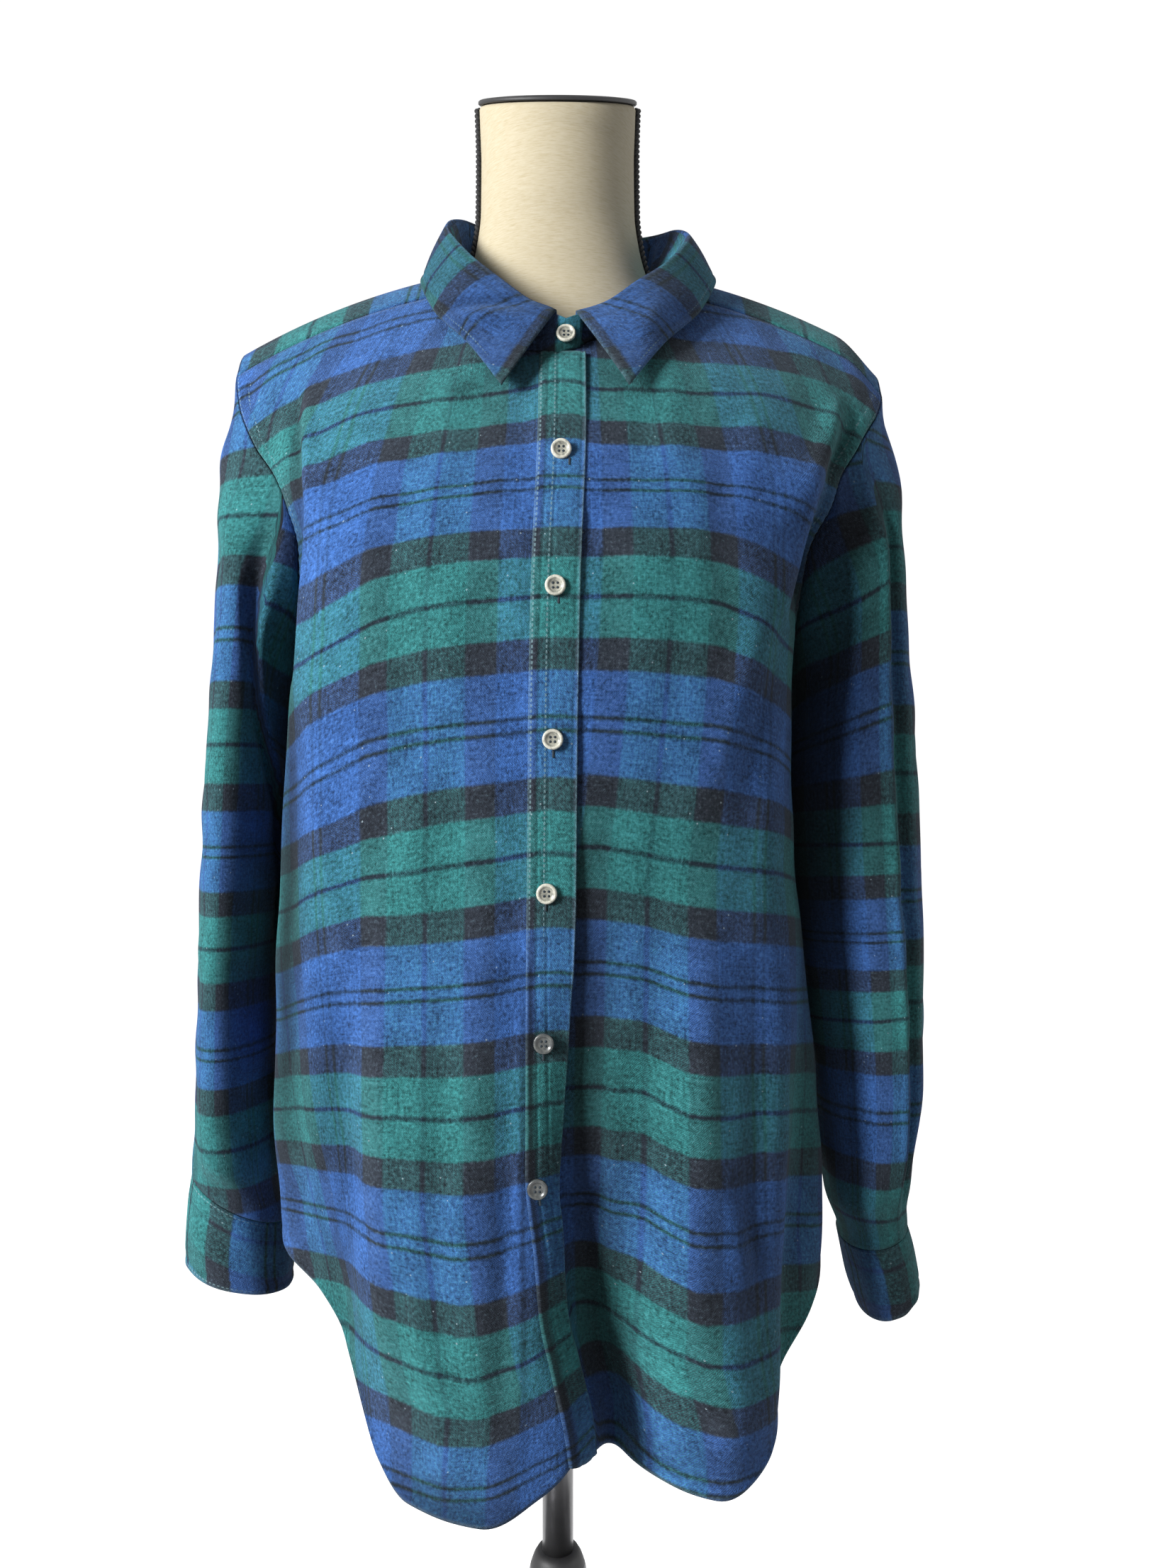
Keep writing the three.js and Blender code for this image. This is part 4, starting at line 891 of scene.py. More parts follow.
FRONT_SEAM_DROP = -float(drop(FRONT_YOKE_LEVEL + SEAM_GAP))
BACK_SEAM_DROP = float(drop(BACK_YOKE_LEVEL + SEAM_GAP))
NECK_SIDE_DROP = 2.1
NECK_BACK_DROP = 4.2
LEFT_INNER_EDGE = -PLACKET_WIDTH / 2 + 3
neck_start = angle_across(LEFT_INNER_EDGE, FRONT_YOKE_LEVEL, LEFT)
neck_outer = edge_angle(FRONT_YOKE_LEVEL) - ARM_SEAM_TURN
NECK_ACROSS = float(lerp(neck_start, neck_outer, NECK_FRACTION) / neck_outer)


def yoke_point(across, signed_drop):
    """Signed drop: negative before the shoulder ridge, positive behind it."""
    height = RIDGE_LEVEL - signed_drop * signed_drop
    side = np.where(across < 0, RIGHT, LEFT)
    turn = np.abs(across) * (edge_angle(height) - ARM_SEAM_TURN)
    angle = np.where(signed_drop < 0, side * turn, side * (180 - turn))
    return body_point(angle, height)


YOKE_FRONT_RAYS = 12
YOKE_BACK_RAYS = 22
YOKE_MIDDLE_RAYS = 90
YOKE_STEPS = 44
YOKE_DARK = 207


def yoke_grid():
    """Rays from the neckline out to the armholes and the back seam."""
    drops = [(s, True) for s in np.linspace(1, 0, YOKE_FRONT_RAYS, endpoint=False)]
    drops += [(s, False) for s in np.linspace(0, 1, YOKE_BACK_RAYS)]
    arm = []
    for share, before in drops:
        inner = FRONT_SEAM_DROP * share if before else NECK_SIDE_DROP * share
        outer = FRONT_SEAM_DROP * share if before else BACK_SEAM_DROP * share
        arm.append(((NECK_ACROSS, inner), (1.0, outer)))
    middle = []
    for share in np.linspace(0, 1, YOKE_MIDDLE_RAYS + 2)[1:-1]:
        around = math.pi * share
        inner_drop = NECK_SIDE_DROP + (NECK_BACK_DROP - NECK_SIDE_DROP) * math.sin(around)
        middle.append(((-NECK_ACROSS * math.cos(around), inner_drop), (2 * share - 1, BACK_SEAM_DROP)))
    mirrored = [((-a[0], a[1]), (-b[0], b[1])) for a, b in arm]
    rays = np.array(mirrored + middle + arm[::-1])
    t = np.linspace(0, 1, YOKE_STEPS)[None, :, None]
    spots = lerp(rays[:, :1], rays[:, 1:], t)
    return yoke_point(spots[..., 0], spots[..., 1])


def yoke():
    points = yoke_grid()
    u = points[..., 1] * 1.05 + 60
    v = YOKE_DARK - np.abs(points[..., 0])
    obj = cloth("yoke_cloth", points, u, v)
    finish_cloth(obj, "yoke")
    return points


yoke_points = yoke()


# Cuffs and sleeves
CUFFS = {
    # middle x and y, half width and depth, height at the outer and the inner side
    RIGHT: {"seam": (-226, 0, 33, 36, 433, 397), "edge": (-227, 2, 37, 38, 370, 350)},
    LEFT: {"seam": (224, 2, 23, 45, 398, 384), "edge": (235, 4, 20, 46, 357, 333)},
}
CUFF_COLUMNS = 110
CUFF_ROWS = 26
CUFF_LIT = {RIGHT: 1.0, LEFT: 0.8}


def cuff_point(side, t, turn, grow=0):
    """t runs from the seam to the edge, turn in degrees from the outer side."""
    seam, edge = CUFFS[side]["seam"], CUFFS[side]["edge"]
    x, y, wide, deep, outer, inner = (lerp(a, b, t) for a, b in zip(seam, edge))
    a = np.radians(turn)
    bulge = 1.5 * np.sin(math.pi * t) + grow
    under = (1 - np.cos(a)) / 2
    return np.stack([
        x + side * (wide + bulge) * np.cos(a),
        y - (deep + bulge) * np.sin(a),
        lerp(outer, inner, under),
    ], -1)


def cuff(side):
    name = "cuff_right" if side == RIGHT else "cuff_left"
    t = np.linspace(0, 1, CUFF_ROWS)[:, None]
    turn = np.linspace(0, 360, CUFF_COLUMNS, endpoint=False)[None, :]
    grow = 0.4 * ripples(turn, t * 60, 31 + side, 40) - 0.5 * np.exp(-(((t - 0.9) / 0.04) ** 2))
    points = cuff_point(side, t, turn, grow)
    closed = np.concatenate([points, points[:, :1]], axis=1)
    u = 20 + along(closed, 0)
    v = along(closed, 1) + 12
    wear_and_highlight = 0.35 * np.exp(-(((1 - t) / 0.03) ** 2)) + 0 * u
    width = along(closed, 0)
    seam = (nearest_line(np.minimum(width, width[-1:] - width), (2.4,)), v)
    shade = np.full(u.shape, CUFF_LIT[side])
    obj = cloth(
        f"{name}_cloth", points, u, v, ring=True, thick=CUFF_THICK, wear_and_highlight=wear_and_highlight, seam=seam, shade=shade,
    )
    finish_cloth(obj, name)


for side in (RIGHT, LEFT):
    cuff(side)

SLEEVES = {
    # height, outermost and innermost reach, middle y, half depth
    RIGHT: [
        (400, 253, 198, 0, 34), (425, 256, 198, 2, 44), (450, 256, 198, 4, 58),
        (500, 255, 200, 6, 66), (576, 253, 199, 8, 70), (640, 252, 195, 9, 71),
        (720, 249, 192, 10, 71), (800, 244, 186, 10, 70), (860, 241, 182, 10, 68),
        (920, 239, 186, 10, 64), (980, 237, 196, 12, 52), (1014, 234, 205, 14, 40),
    ],
    LEFT: [
        (377, 245, 203, 2, 42), (402, 244, 194, 2, 50), (430, 249, 190, 4, 60),
        (500, 259, 183, 6, 66), (576, 261, 175, 8, 69), (640, 260, 168.5, 9, 71),
        (720, 257, 165.5, 10, 71), (800, 251, 172, 10, 70), (860, 247, 178, 10, 68),
        (920, 243, 186, 10, 64), (980, 238, 196, 12, 52), (1014, 234, 205, 14, 40),
    ],
}
SLEEVE_FOLDS = {
    # degrees round from the outer side over the front, width, depth
    RIGHT: [(42, 18, -4), (250, 18, -9), (308, 16, -7)],
    LEFT: [(22, 14, -4), (125, 18, -6), (240, 20, -10), (305, 16, -7)],
}
# A long fold runs down each sleeve where one strip laps over the next: height, and
# degrees round the sleeve
SLEEVE_LAP = {
    RIGHT: [(540, 188), (600, 180), (675, 168), (711, 153), (759, 128), (807, 117), (880, 105), (1000, 98)],
    LEFT: [(420, 60), (560, 66), (700, 70), (1000, 72)],
}
# Which side of the fold lies on top, and how deep the valley beside it is
SLEEVE_LAP_FORM = {RIGHT: (1, 9.0), LEFT: (1, 8.0)}
sleeve_lap = {side: curve(SLEEVE_LAP[side]) for side in SLEEVE_LAP}
sleeve_curves = {side: [curve(SLEEVES[side], key) for key in range(1, 5)] for side in SLEEVES}
SLEEVE_ROWS = 190


def sleeve_ring(side, turn, height):
    outer, inner, mid_y, half_deep = (read(height) for read in sleeve_curves[side])
    half = (outer - inner) / 2
    a = np.radians(turn)
    grown = smooth((1000 - height) / 150) * smooth((height - 380) / 90)
    fold = 0
    for at, width, depth in SLEEVE_FOLDS[side]:
        away = np.abs((turn - at + 540) % 360 - 180)
        fold = fold + depth * grown * np.exp(-((away / width) ** 2))
    on_top, depth = SLEEVE_LAP_FORM[side]
    past = (turn - sleeve_lap[side](height)) * on_top
    valley = -depth * np.exp(-(((past + 5) / 7) ** 2)) + 0.5 * depth * np.exp(-(((past - 5) / 6) ** 2))
    fold = fold + grown * valley
    x = side * (inner + half + (half + fold * 0.6) * np.cos(a))
    y = mid_y - (half_deep + fold) * np.sin(a)
    return np.stack([x, y, height], -1)


def armhole_loop(side):
    """The armhole's points and body normals, from the front seam down, up the
    back and over the shoulder."""
    front_levels = np.linspace(FRONT_YOKE_LEVEL - SEAM_GAP, UNDERARM_LEVEL, 40)[:-1]
    back_levels = np.linspace(UNDERARM_LEVEL, BACK_YOKE_LEVEL - SEAM_GAP, 34)[1:]
    low = len(front_levels)
    angles = [side * (edge_angle(front_levels) - ARM_SEAM_TURN), [side * 90.0]]
    angles.append(side * (180 - (edge_angle(back_levels) - ARM_SEAM_TURN)))
    levels = np.concatenate([front_levels, [UNDERARM_LEVEL], back_levels])
    angles = np.concatenate(angles)
    drops = np.linspace(BACK_SEAM_DROP, FRONT_SEAM_DROP, 26)[1:-1]
    high = RIDGE_LEVEL - drops * drops
    turn = edge_angle(high) - ARM_SEAM_TURN
    angles = np.concatenate([angles, np.where(drops < 0, side * turn, side * (180 - turn))])
    levels = np.concatenate([levels, high])
    return body_point(angles, levels), body_normal(angles, levels), low


def sleeve_turns(loop, low):
    """Degrees round the sleeve for each point: 0 at the shoulder, 180 at the
    underarm, over the front first."""
    count = len(loop)
    tip = int(np.argmax(loop[:, 2]))
    turns = np.zeros(count)

    def run(start, end):
        order = [(start + i) % count for i in range(end - start + 1)]
        steps = np.linalg.norm(np.diff(loop[order], axis=0), axis=1)
        length = np.concatenate([[0], np.cumsum(steps)])
        return order, length / length[-1]

    order, share = run(tip, low + count)
    for k, f in zip(order, share):
        turns[k] = 180 * f
    order, share = run(low, tip)
    for k, f in list(zip(order, share))[1:-1]:
        turns[k] = 180 + 180 * f
    return turns, tip


# How far the sleeve's weft count is from 1000 less the height: outside the fold,
# just past it, and at the inner side
SLEEVE_WEFT = {
    RIGHT: [
        (400, -74, -74, -74), (430, -73, -75, -75), (460, -68, -78, -78), (496, -67, -86, -86),
        (526, -76, -88, -88), (565, -76, -92, -92), (596, -78, -93, -94), (640, -84, -100, -120),
        (697, -90, -157, -165), (735, -88, -158, -172), (780, -89, -153, -168), (828, -86, -138, -156),
        (865, -83, -135, -152), (922, -78, -120, -138), (1040, -74, -110, -120),
    ],
    LEFT: [
        (380, -115, -116, -120), (500, -116, -117, -121), (545, -116, -122, -134),
        (577, -115, -131, -140), (605, -116, -142, -150), (640, -117, -147, -156),
        (665, -113, -153, -158), (700, -108, -150, -161), (757, -104, -137, -167),
        (800, -102, -134, -160), (842, -100, -124, -163), (870, -100, -119, -150),
        (940, -98, -112, -132), (1040, -96, -104, -118),
    ],
}


def sleeve_weft(side, turn, height):
    outside, past, inner = (curve(SLEEVE_WEFT[side], key)(height) for key in (1, 2, 3))
    lap = sleeve_lap[side](height)
    over = smooth((turn - lap + 2) / 4)
    front = lerp(past, inner, np.clip((turn - lap) / (180 - np.minimum(lap, 170)), 0, 1))
    return lerp(outside, front, over * (1 - smooth((turn - 200) / 110)))


# Degrees round the sleeve and heights between which it lies in shadow, and how deep
SLEEVE_SHADE = {
    RIGHT: [(150, 34, 480, 860, 0.45), (110, 6, 700, 1000, 0.12)],
    LEFT: [(112, 46, 600, 940, 0.5), (148, 36, 540, 830, 0.72), (84, 12, 560, 960, 0.2)],
}


def sleeve_shade(side, turn, height):
    out = 1 + 0 * turn * height
    for at, width, low, high, depth in SLEEVE_SHADE[side]:
        band = smooth((height - low) / 90) * smooth((high - height) / 60)
        out = out * (1 - depth * band * np.exp(-(((turn - at) / width) ** 2)))
    return out


SLEEVE_WARP_START = {RIGHT: 96.0, LEFT: 96.0}


def sleeve(side):
    name = "sleeve_right" if side == RIGHT else "sleeve_left"
    loop, normals, low = armhole_loop(side)
    turns, tip = sleeve_turns(loop, low)
    run = np.roll(loop, -1, axis=0) - np.roll(loop, 1, axis=0)
    away = np.cross(run, normals)
    away /= np.linalg.norm(away, axis=1, keepdims=True)
    away *= np.where(away[:, :1] * side < 0, -1, 1)
    tucked = cuff_point(side, 0, turns) + [0, 0, 2 * SEAM_GAP]
    share = (np.arange(1, SLEEVE_ROWS + 1)[:, None] / SLEEVE_ROWS) ** 1.15
    height = lerp(loop[None, :, 2], tucked[None, :, 2], share)
    settle = smooth((loop[None, :, 2] - height) / 75)[..., None]
    tuck = smooth((share - 0.93) / 0.07)[..., None]
    ring = sleeve_ring(side, turns[None, :], height)
    start = loop + [side * 1.2, 0, 0]
    points = lerp(lerp(start[None], ring, settle), tucked[None], tuck)
    points[..., 2] = height
    points = np.concatenate([(loop + away * 2 * SEAM_GAP)[None], points])
    points = np.roll(points, -tip, axis=1)
    turns = np.roll(turns, -tip)
    closed_turns = np.concatenate([turns, [360.0]])[None, :]
    closed = np.concatenate([points, points[:, :1]], axis=1)
    v = 1000 - closed[..., 2] + sleeve_weft(side, closed_turns, closed[..., 2])
    middle = len(closed) // 2
    u = SLEEVE_WARP_START[side] + along(closed, 1)[middle][None, :] + 0 * v
    x, y, z = (points[..., k] for k in range(3))
    lift = 0.6 * ripples(y, z, 41 + side, 50)
    depth = along(points, 0)
    lift *= smooth(depth / 15) * smooth((depth[-1:] - depth) / 20)
    shade = sleeve_shade(side, closed_turns, closed[..., 2])
    obj = cloth(f"{name}_cloth", points, u, v, ring=True, lift=lift, shade=shade)
    finish_cloth(obj, name)


for side in (RIGHT, LEFT):
    sleeve(side)


# Collar
COLLAR = {"x": 7.6, "y": -17, "wide": 87, "back": 79, "front": 72, "tilt": 4, "narrow": 0.04}
FOLD_HEIGHT = [
    (0, 1121), (60, 1112), (95, 1088), (110, 1074), (125, 1057),
    (140, 1040), (150, 1029), (165, 1012.5), (180, 1003),
]
fold_height = curve(FOLD_HEIGHT)
STAND_CLEAR = {"inward": 1.3, "up": 1.7}
STAND_ENDS = (-188, 174)
STAND_LEAN = 1.2
STAND_FORWARD = 3.4
STAND_LAP = {"turn": -165, "ease": 8, "rise": 2.2}
LEAF_EDGE = [
    # degrees from the middle back, x and y from the middle, height
    (0, 0, 72, 1077), (45, 68, 58, 1076), (80, 103, 22, 1071), (100, 104, -10, 1059),
    (125, 90, -50, 1022), (150, 62, -87, 985), (176, 40, -113, 951),
]
leaf_edge = [curve(LEAF_EDGE, key) for key in (1, 2, 3)]
LEAF_END = 176
LEAF_BULGE = 2.2
# The leaf rolls over the stand's top edge
LEAF_ROLL = {"share": 0.08, "inward": 3.2, "down": 3.2}
LEAF_LINES = 268
LEAF_LAST_BLUE = 25
LEAF_END_STRIP = 6
LEAF_STITCH = 5
LEAF_LIT = {RIGHT: 0.62, LEFT: 0.85}
LEAF_CREASES = [
    (-20, 1013, -74, 1020, 4, -2.6), (-26, 1003, -72, 1009, 5, 2.4), (-40, 985, -52, 968, 7, -1.2),
    (66, 1012, 50, 985, 7, 1.4),
]
LEAF_SHADE = [(-20, 1015, -74, 1022, 3.4, 0.45), (-62, 1030, -84, 1050, 8, 0.15)]
LEAF_STRIPES = 155
COLLAR_COLUMNS = 180
LEAF_ROWS = 30
STAND_ROWS = 18


def outward_at(turn):
    a = np.radians(turn)
    return np.stack([np.sin(a), np.cos(a), 0 * a], -1)


def fold_point(turn):
    a = np.radians(turn)
    narrow = 1 - COLLAR["narrow"] * np.sin(a) ** 2
    deep = np.where(np.cos(a) > 0, COLLAR["back"], COLLAR["front"])
    wrapped = np.abs((turn + 540) % 360 - 180)
    return np.stack([
        COLLAR["x"] + COLLAR["wide"] * narrow * np.sin(a),
        COLLAR["y"] + deep * np.cos(a),
        fold_height(wrapped) - COLLAR["tilt"] * np.sin(a),
    ], -1)


def neckline():
    """The neckline's points, and their turn round the collar."""
    points = []
    for side in (RIGHT, LEFT):
        angle, levels, lap = front_grid(side)
        inside = int(FRONT_COLUMNS * NECK_FRACTION)
        points.append(body_point(angle, levels, lap)[0, : inside + 1])
    points.append(yoke_points[:, 0])
    points = np.concatenate(points)
    turn = np.degrees(np.arctan2(points[:, 0] - COLLAR["x"], points[:, 1] - COLLAR["y"]))
    order = np.argsort(turn)
    return turn[order], points[order]


NECK_TURNS, NECK_POINTS = neckline()


def seam_point(turn):
    wrapped = (turn + 540) % 360 - 180
    p = np.stack([
        np.interp(wrapped, NECK_TURNS, NECK_POINTS[:, k], period=360) for k in range(3)
    ], -1)
    inward = np.array([COLLAR["x"], COLLAR["y"], 0]) - p * [1, 1, 0]
    inward /= np.linalg.norm(inward, axis=-1, keepdims=True)
    return p + inward * STAND_CLEAR["inward"] + [0, 0, STAND_CLEAR["up"]]


def stand_point(turn, t):
    turn, t = np.broadcast_arrays(np.asarray(turn, float), np.asarray(t, float))
    lapped = smooth((STAND_LAP["turn"] - turn) / STAND_LAP["ease"])
    before = smooth((np.abs(turn) - 168) / 8) * STAND_FORWARD * smooth((0.5 - t) / 0.5)
    fold = fold_point(turn)
    p = lerp(seam_point(turn), fold, t[..., None])
    out = lapped * STAND_LAP["rise"] - STAND_LEAN * t + before
    p = p + outward_at(turn) * out[..., None]
    p[..., 2] = np.minimum(p[..., 2], fold[..., 2] - SEAM_GAP)
    return p


def stand():
    turn = np.linspace(*STAND_ENDS, COLLAR_COLUMNS)[None, :]
    t = np.linspace(-0.22, 1, STAND_ROWS)[:, None]
    points = stand_point(turn, t)
    u = 70 + along(points, 0)
    v = 40 + along(points, 1)
    obj = cloth("collar_stand_cloth", points, u, v)
    finish_cloth(obj, "collar_stand")


stand()


def leaf_point(turn, t):
    turn, t = np.broadcast_arrays(np.asarray(turn, float), np.asarray(t, float))
    x, y, z = (read(np.abs(turn)) for read in leaf_edge)
    side = np.where(turn < 0, RIGHT, LEFT)
    start = fold_point(turn) + [0, 0, 2.6] + outward_at(turn) * 0.8
    end = np.stack([COLLAR["x"] + side * x, y, z + 2], -1)
    flat = np.clip(t, 0, 1)
    rolled = np.clip(-t / LEAF_ROLL["share"], 0, 1)
    bulge = LEAF_BULGE * np.sin(math.pi * flat) ** 0.6 - LEAF_ROLL["inward"] * rolled
    points = lerp(start, end, flat[..., None]) + outward_at(turn) * bulge[..., None]
    points[..., 2] -= LEAF_ROLL["down"] * rolled ** 2
    return points


def leaf():
    turn = np.linspace(-LEAF_END, LEAF_END, COLLAR_COLUMNS)[None, :]
    t = np.concatenate([[-0.08, -0.06, -0.04, -0.02], np.linspace(0, 1, LEAF_ROWS)])[:, None]
    points = leaf_point(turn, t)
    run = along(points, 1)
    edge = run[:, -1:] / 2
    out = np.abs(run - edge)
    past = np.maximum(0, out - LEAF_LINES)
    stretch = np.minimum(2, LEAF_LAST_BLUE / np.maximum(1, edge - LEAF_END_STRIP - LEAF_LINES))
    v = np.minimum(out, LEAF_LINES) + past * stretch - LEAF_STRIPES
    u = 95 + along(points, 0)
    down = along(points, 0)
    to_edge = np.minimum(down[-1:] - down, edge - out)
    seam = (nearest_line(to_edge, (LEAF_STITCH,)), run)
    x, z = points[..., 0], points[..., 2]
    lift = creases(x, z, LEAF_CREASES) + 0.4 * ripples(x, z, 61, 40)
    lift = lift * smooth(down / 4) * smooth(to_edge / 6)
    lift = lift - 0.4 * np.exp(-(((to_edge - LEAF_STITCH) / 1) ** 2))
    shade = np.where(turn < 0, LEAF_LIT[RIGHT], LEAF_LIT[LEFT]) * (1 - creases(x, z, LEAF_SHADE))
    wear_and_highlight = 0.25 * np.exp(-((to_edge / 1.2) ** 2))
    obj = cloth("collar_leaf_cloth", points, u, v, lift=lift, wear_and_highlight=wear_and_highlight, seam=seam, shade=shade)
    finish_cloth(obj, "collar_leaf")


leaf()


# Buttons
def pearl_material(name, dark, middle, light):
    m = Nodes(name)
    place = m.node("ShaderNodeTexCoord").outputs["Object"]
    swirl = m.noise(place, 420, 3.0, 0.6)
    colour = m.ramp(swirl, [(0.3, dark), (0.5, middle), (0.72, light)])
    m.set(Base_Color=colour, Roughness=0.3, Coat_Weight=0.3, Coat_Roughness=0.15)
    return m.material


def plain_material(name, colour, roughness, metal=0.0, scale=300.0, depth=0.0001, spread=0.25):
    m = Nodes(name)
    place = m.node("ShaderNodeTexCoord").outputs["Object"]
    grain = m.noise(place, scale, 3.0)
    tone = m.between(grain, 0.3, 0.7, 1 - spread, 1 + spread)
    scaled = m.node("ShaderNodeVectorMath", operation="SCALE")
    rgb = m.node("ShaderNodeRGB")
    rgb.outputs[0].default_value = colour
    m.link(rgb.outputs[0], scaled.inputs[0])
    m.link(tone, scaled.inputs["Scale"])
    m.set(Base_Color=scaled.outputs[0], Roughness=roughness, Metallic=metal)
    m.bump(grain, depth)
    return m.material


PEARL = pearl_material("pearl", srgb(150, 150, 140), srgb(196, 194, 180), srgb(222, 220, 206))
PEARL_DISC = pearl_material("pearl_disc", srgb(92, 94, 88), srgb(146, 146, 134), srgb(180, 178, 164))
# Painted shade: a darker copy of the pearl, for the two lowest buttons, which lie in shade.
PEARL_SHADED = pearl_material("pearl_shaded", srgb(40, 44, 46), srgb(66, 70, 70), srgb(96, 98, 94))
THREAD = plain_material("thread", srgb(20, 34, 44), 0.8, scale=900)
BLACK = plain_material("black_trim", srgb(22, 22, 24), 0.55)
BRAID = plain_material("braid", srgb(18, 18, 20), 0.75, scale=1500, depth=0.0003)
STEEL = plain_material("steel", srgb(120, 120, 122), 0.3, metal=0.95, scale=120, spread=0.06)
BUTTON_PROFILE = [
    # radius and height as shares of the button's radius
    (0.0, 0.24), (0.3, 0.25), (0.55, 0.27), (0.64, 0.32), (0.7, 0.39), (0.78, 0.42),
    (0.88, 0.42), (0.95, 0.38), (0.99, 0.28), (1.0, 0.18), (0.94, 0.08), (0.82, 0.0),
]


BUTTON_DISC = 3


def add_tube(vertices, faces, path, radius, around=8):
    """A closed round cord through a path of points."""
    path = np.array(path, float)
    run = np.gradient(path, axis=0)
    run /= np.linalg.norm(run, axis=1, keepdims=True)
    start = len(vertices)
    across = np.cross(run[0], [0.31, 0.52, 0.79])
    for point, forward in zip(path, run):
        across = across - forward * (across @ forward)
        across /= np.linalg.norm(across)
        other = np.cross(forward, across)
        for k in range(around):
            a = 2 * math.pi * k / around
            vertices.append(point + radius * (math.cos(a) * across + math.sin(a) * other))
    faces += ring_faces(len(path), around, start)
    faces.append(tuple(range(start + around - 1, start - 1, -1)))
    last = start + (len(path) - 1) * around
    faces.append(tuple(range(last, last + around)))


def button(name, node, radius, normal):
    low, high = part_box(node)
    centre = (np.array(low) + np.array(high)) / 2 / MM
    normal = np.array(normal, float)
    normal /= np.linalg.norm(normal)
    side = np.cross([0, 0, 1], normal)
    side /= np.linalg.norm(side)
    up = np.cross(normal, side)
    base = centre - normal * 1.3
    around = 48
    vertices, faces = [], []
    for share, height in BUTTON_PROFILE[1:]:
        for k in range(around):
            a = 2 * math.pi * k / around
            spot = share * (math.cos(a) * side + math.sin(a) * up) + height * normal
            vertices.append(base + radius * spot)
    faces = ring_faces(len(BUTTON_PROFILE) - 1, around)
    vertices.append(base + radius * BUTTON_PROFILE[0][1] * normal)
    hub = len(vertices) - 1
    faces += [((k + 1) % around, k, hub) for k in range(around)]
    # Buttons 6 and 7 take the darker pearl all over, as painted shade.
    shaded = name.startswith(("button_6", "button_7"))
    obj = solid(name, vertices, faces, PEARL_SHADED if shaded else PEARL, "buttons", [node])
    obj.data.materials.append(PEARL_SHADED if shaded else PEARL_DISC)
    disc = [int(k < BUTTON_DISC * around or k >= len(faces) - around) for k in range(len(faces))]
    obj.data.polygons.foreach_set("material_index", disc)
    face = base + normal * radius * 0.25
    stitches = []
    for k in range(4):
        a = math.pi * (0.25 + 0.5 * k)
        stitches.append(face + 0.31 * radius * (math.cos(a) * side + math.sin(a) * up))
    vertices, faces = [], []
    for spot in stitches:
        add_tube(vertices, faces, [spot - normal * 0.2, spot + normal * 0.16], 0.8, 12)
    solid(f"{name}_thread", vertices, faces, THREAD, "buttons")


button_normals = {"button_1": (0, -0.97, 0.25)}
for k in range(2, 8):
    button_normals[f"button_{k}"] = (0, -1, 0)
button_normals["cuff_button_right"] = (0, 1, 0)
button_normals["cuff_button_left"] = (0, 1, 0)
BUTTONHOLE = (6.2, 10.6)


def buttonholes():
    """The worked slit that shows under each button of the placket."""
    vertices, faces = [], []
    for k in range(2, 8):
        low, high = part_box(f"button_{k}")
        across, _, level = (np.array(low) + np.array(high)) / 2 / MM
        levels = level - np.linspace(*BUTTONHOLE, 6)
        path = placket_spot(np.full(6, across), levels, np.full(6, LAP_RISE + 0.1))
        add_tube(vertices, faces, path, 0.65)
    solid("buttonholes_thread", vertices, faces, THREAD, "flannel_trim")


buttonholes()
for node, normal in button_normals.items():
    button(f"{node}_pearl", node, 5.4 if "cuff" in node else 6.35, normal)


# Dress form
def linen_material():
    m = Nodes("linen")
    place = m.node("ShaderNodeTexCoord").outputs["Object"]
    slubs = m.noise(m.stretched(place, (160, 160, 1500)), 1.0, 3.0, 0.65)
    colour = m.ramp(slubs, [
        (0.3, srgb(174, 161, 130)), (0.5, srgb(184, 173, 146)), (0.75, srgb(191, 182, 158)),
    ])
    m.set(Base_Color=colour, Roughness=0.85, Sheen_Weight=0.1)
    m.bump(slubs, 0.00012)
    return m.material


LINEN = linen_material()
FORM_RIDGE = 1079
FORM = [
    # drop below the form's ridge, half width, depth in front and behind, middle y
    (0, 212, 0, 0, 22), (5.1, 214, 38, 36.5, 18), (7.4, 212, 56, 57, 14),
    (9.8, 198, 84, 80, 8), (11.8, 181, 103, 95, 3), (13.4, 168, 115, 102, 0),
    (14.8, 160, 123, 105, 0), (16.1, 156, 126, 106, 0), (17.9, 148, 118, 102, 0),
    (19.4, 142, 110, 98, 0), (21, 148, 110, 100, 0), (22.4, 156, 104, 104, 0),
    (24, 158, 98, 106, 0), (25.2, 154.6, 92.7, 102.7, 0),
]
FORM_EDGE = {"rows": 6, "fall": 14, "shrink": 0.86}
FORM_ROUND = 128
NECK = [
    # height, half width, half depth, middle y
    (1000, 88, 58, 6), (1030, 78, 50, 2), (1058, 66, 46, 1), (1085, 58, 46.5, 0),
    (1110, 54.5, 49, -2), (1150, 54, 51, -4), (1200, 55.5, 52, -6),
]
NECK_TOP = {"height": 1186, "slant": 0.5, "y": -6, "ring": 1190}
neck_wide, neck_deep, neck_middle = (curve(NECK, key) for key in (1, 2, 3))


def closed_loft(rings):
    """The vertices and faces of a solid through rings of points, capped flat."""
    rings = np.array(rings)
    count, around = rings.shape[:2]
    vertices = list(rings.reshape(-1, 3))
    faces = ring_faces(count, around)
    faces.append(tuple(range(around - 1, -1, -1)))
    faces.append(tuple((count - 1) * around + k for k in range(around)))
    return vertices, faces


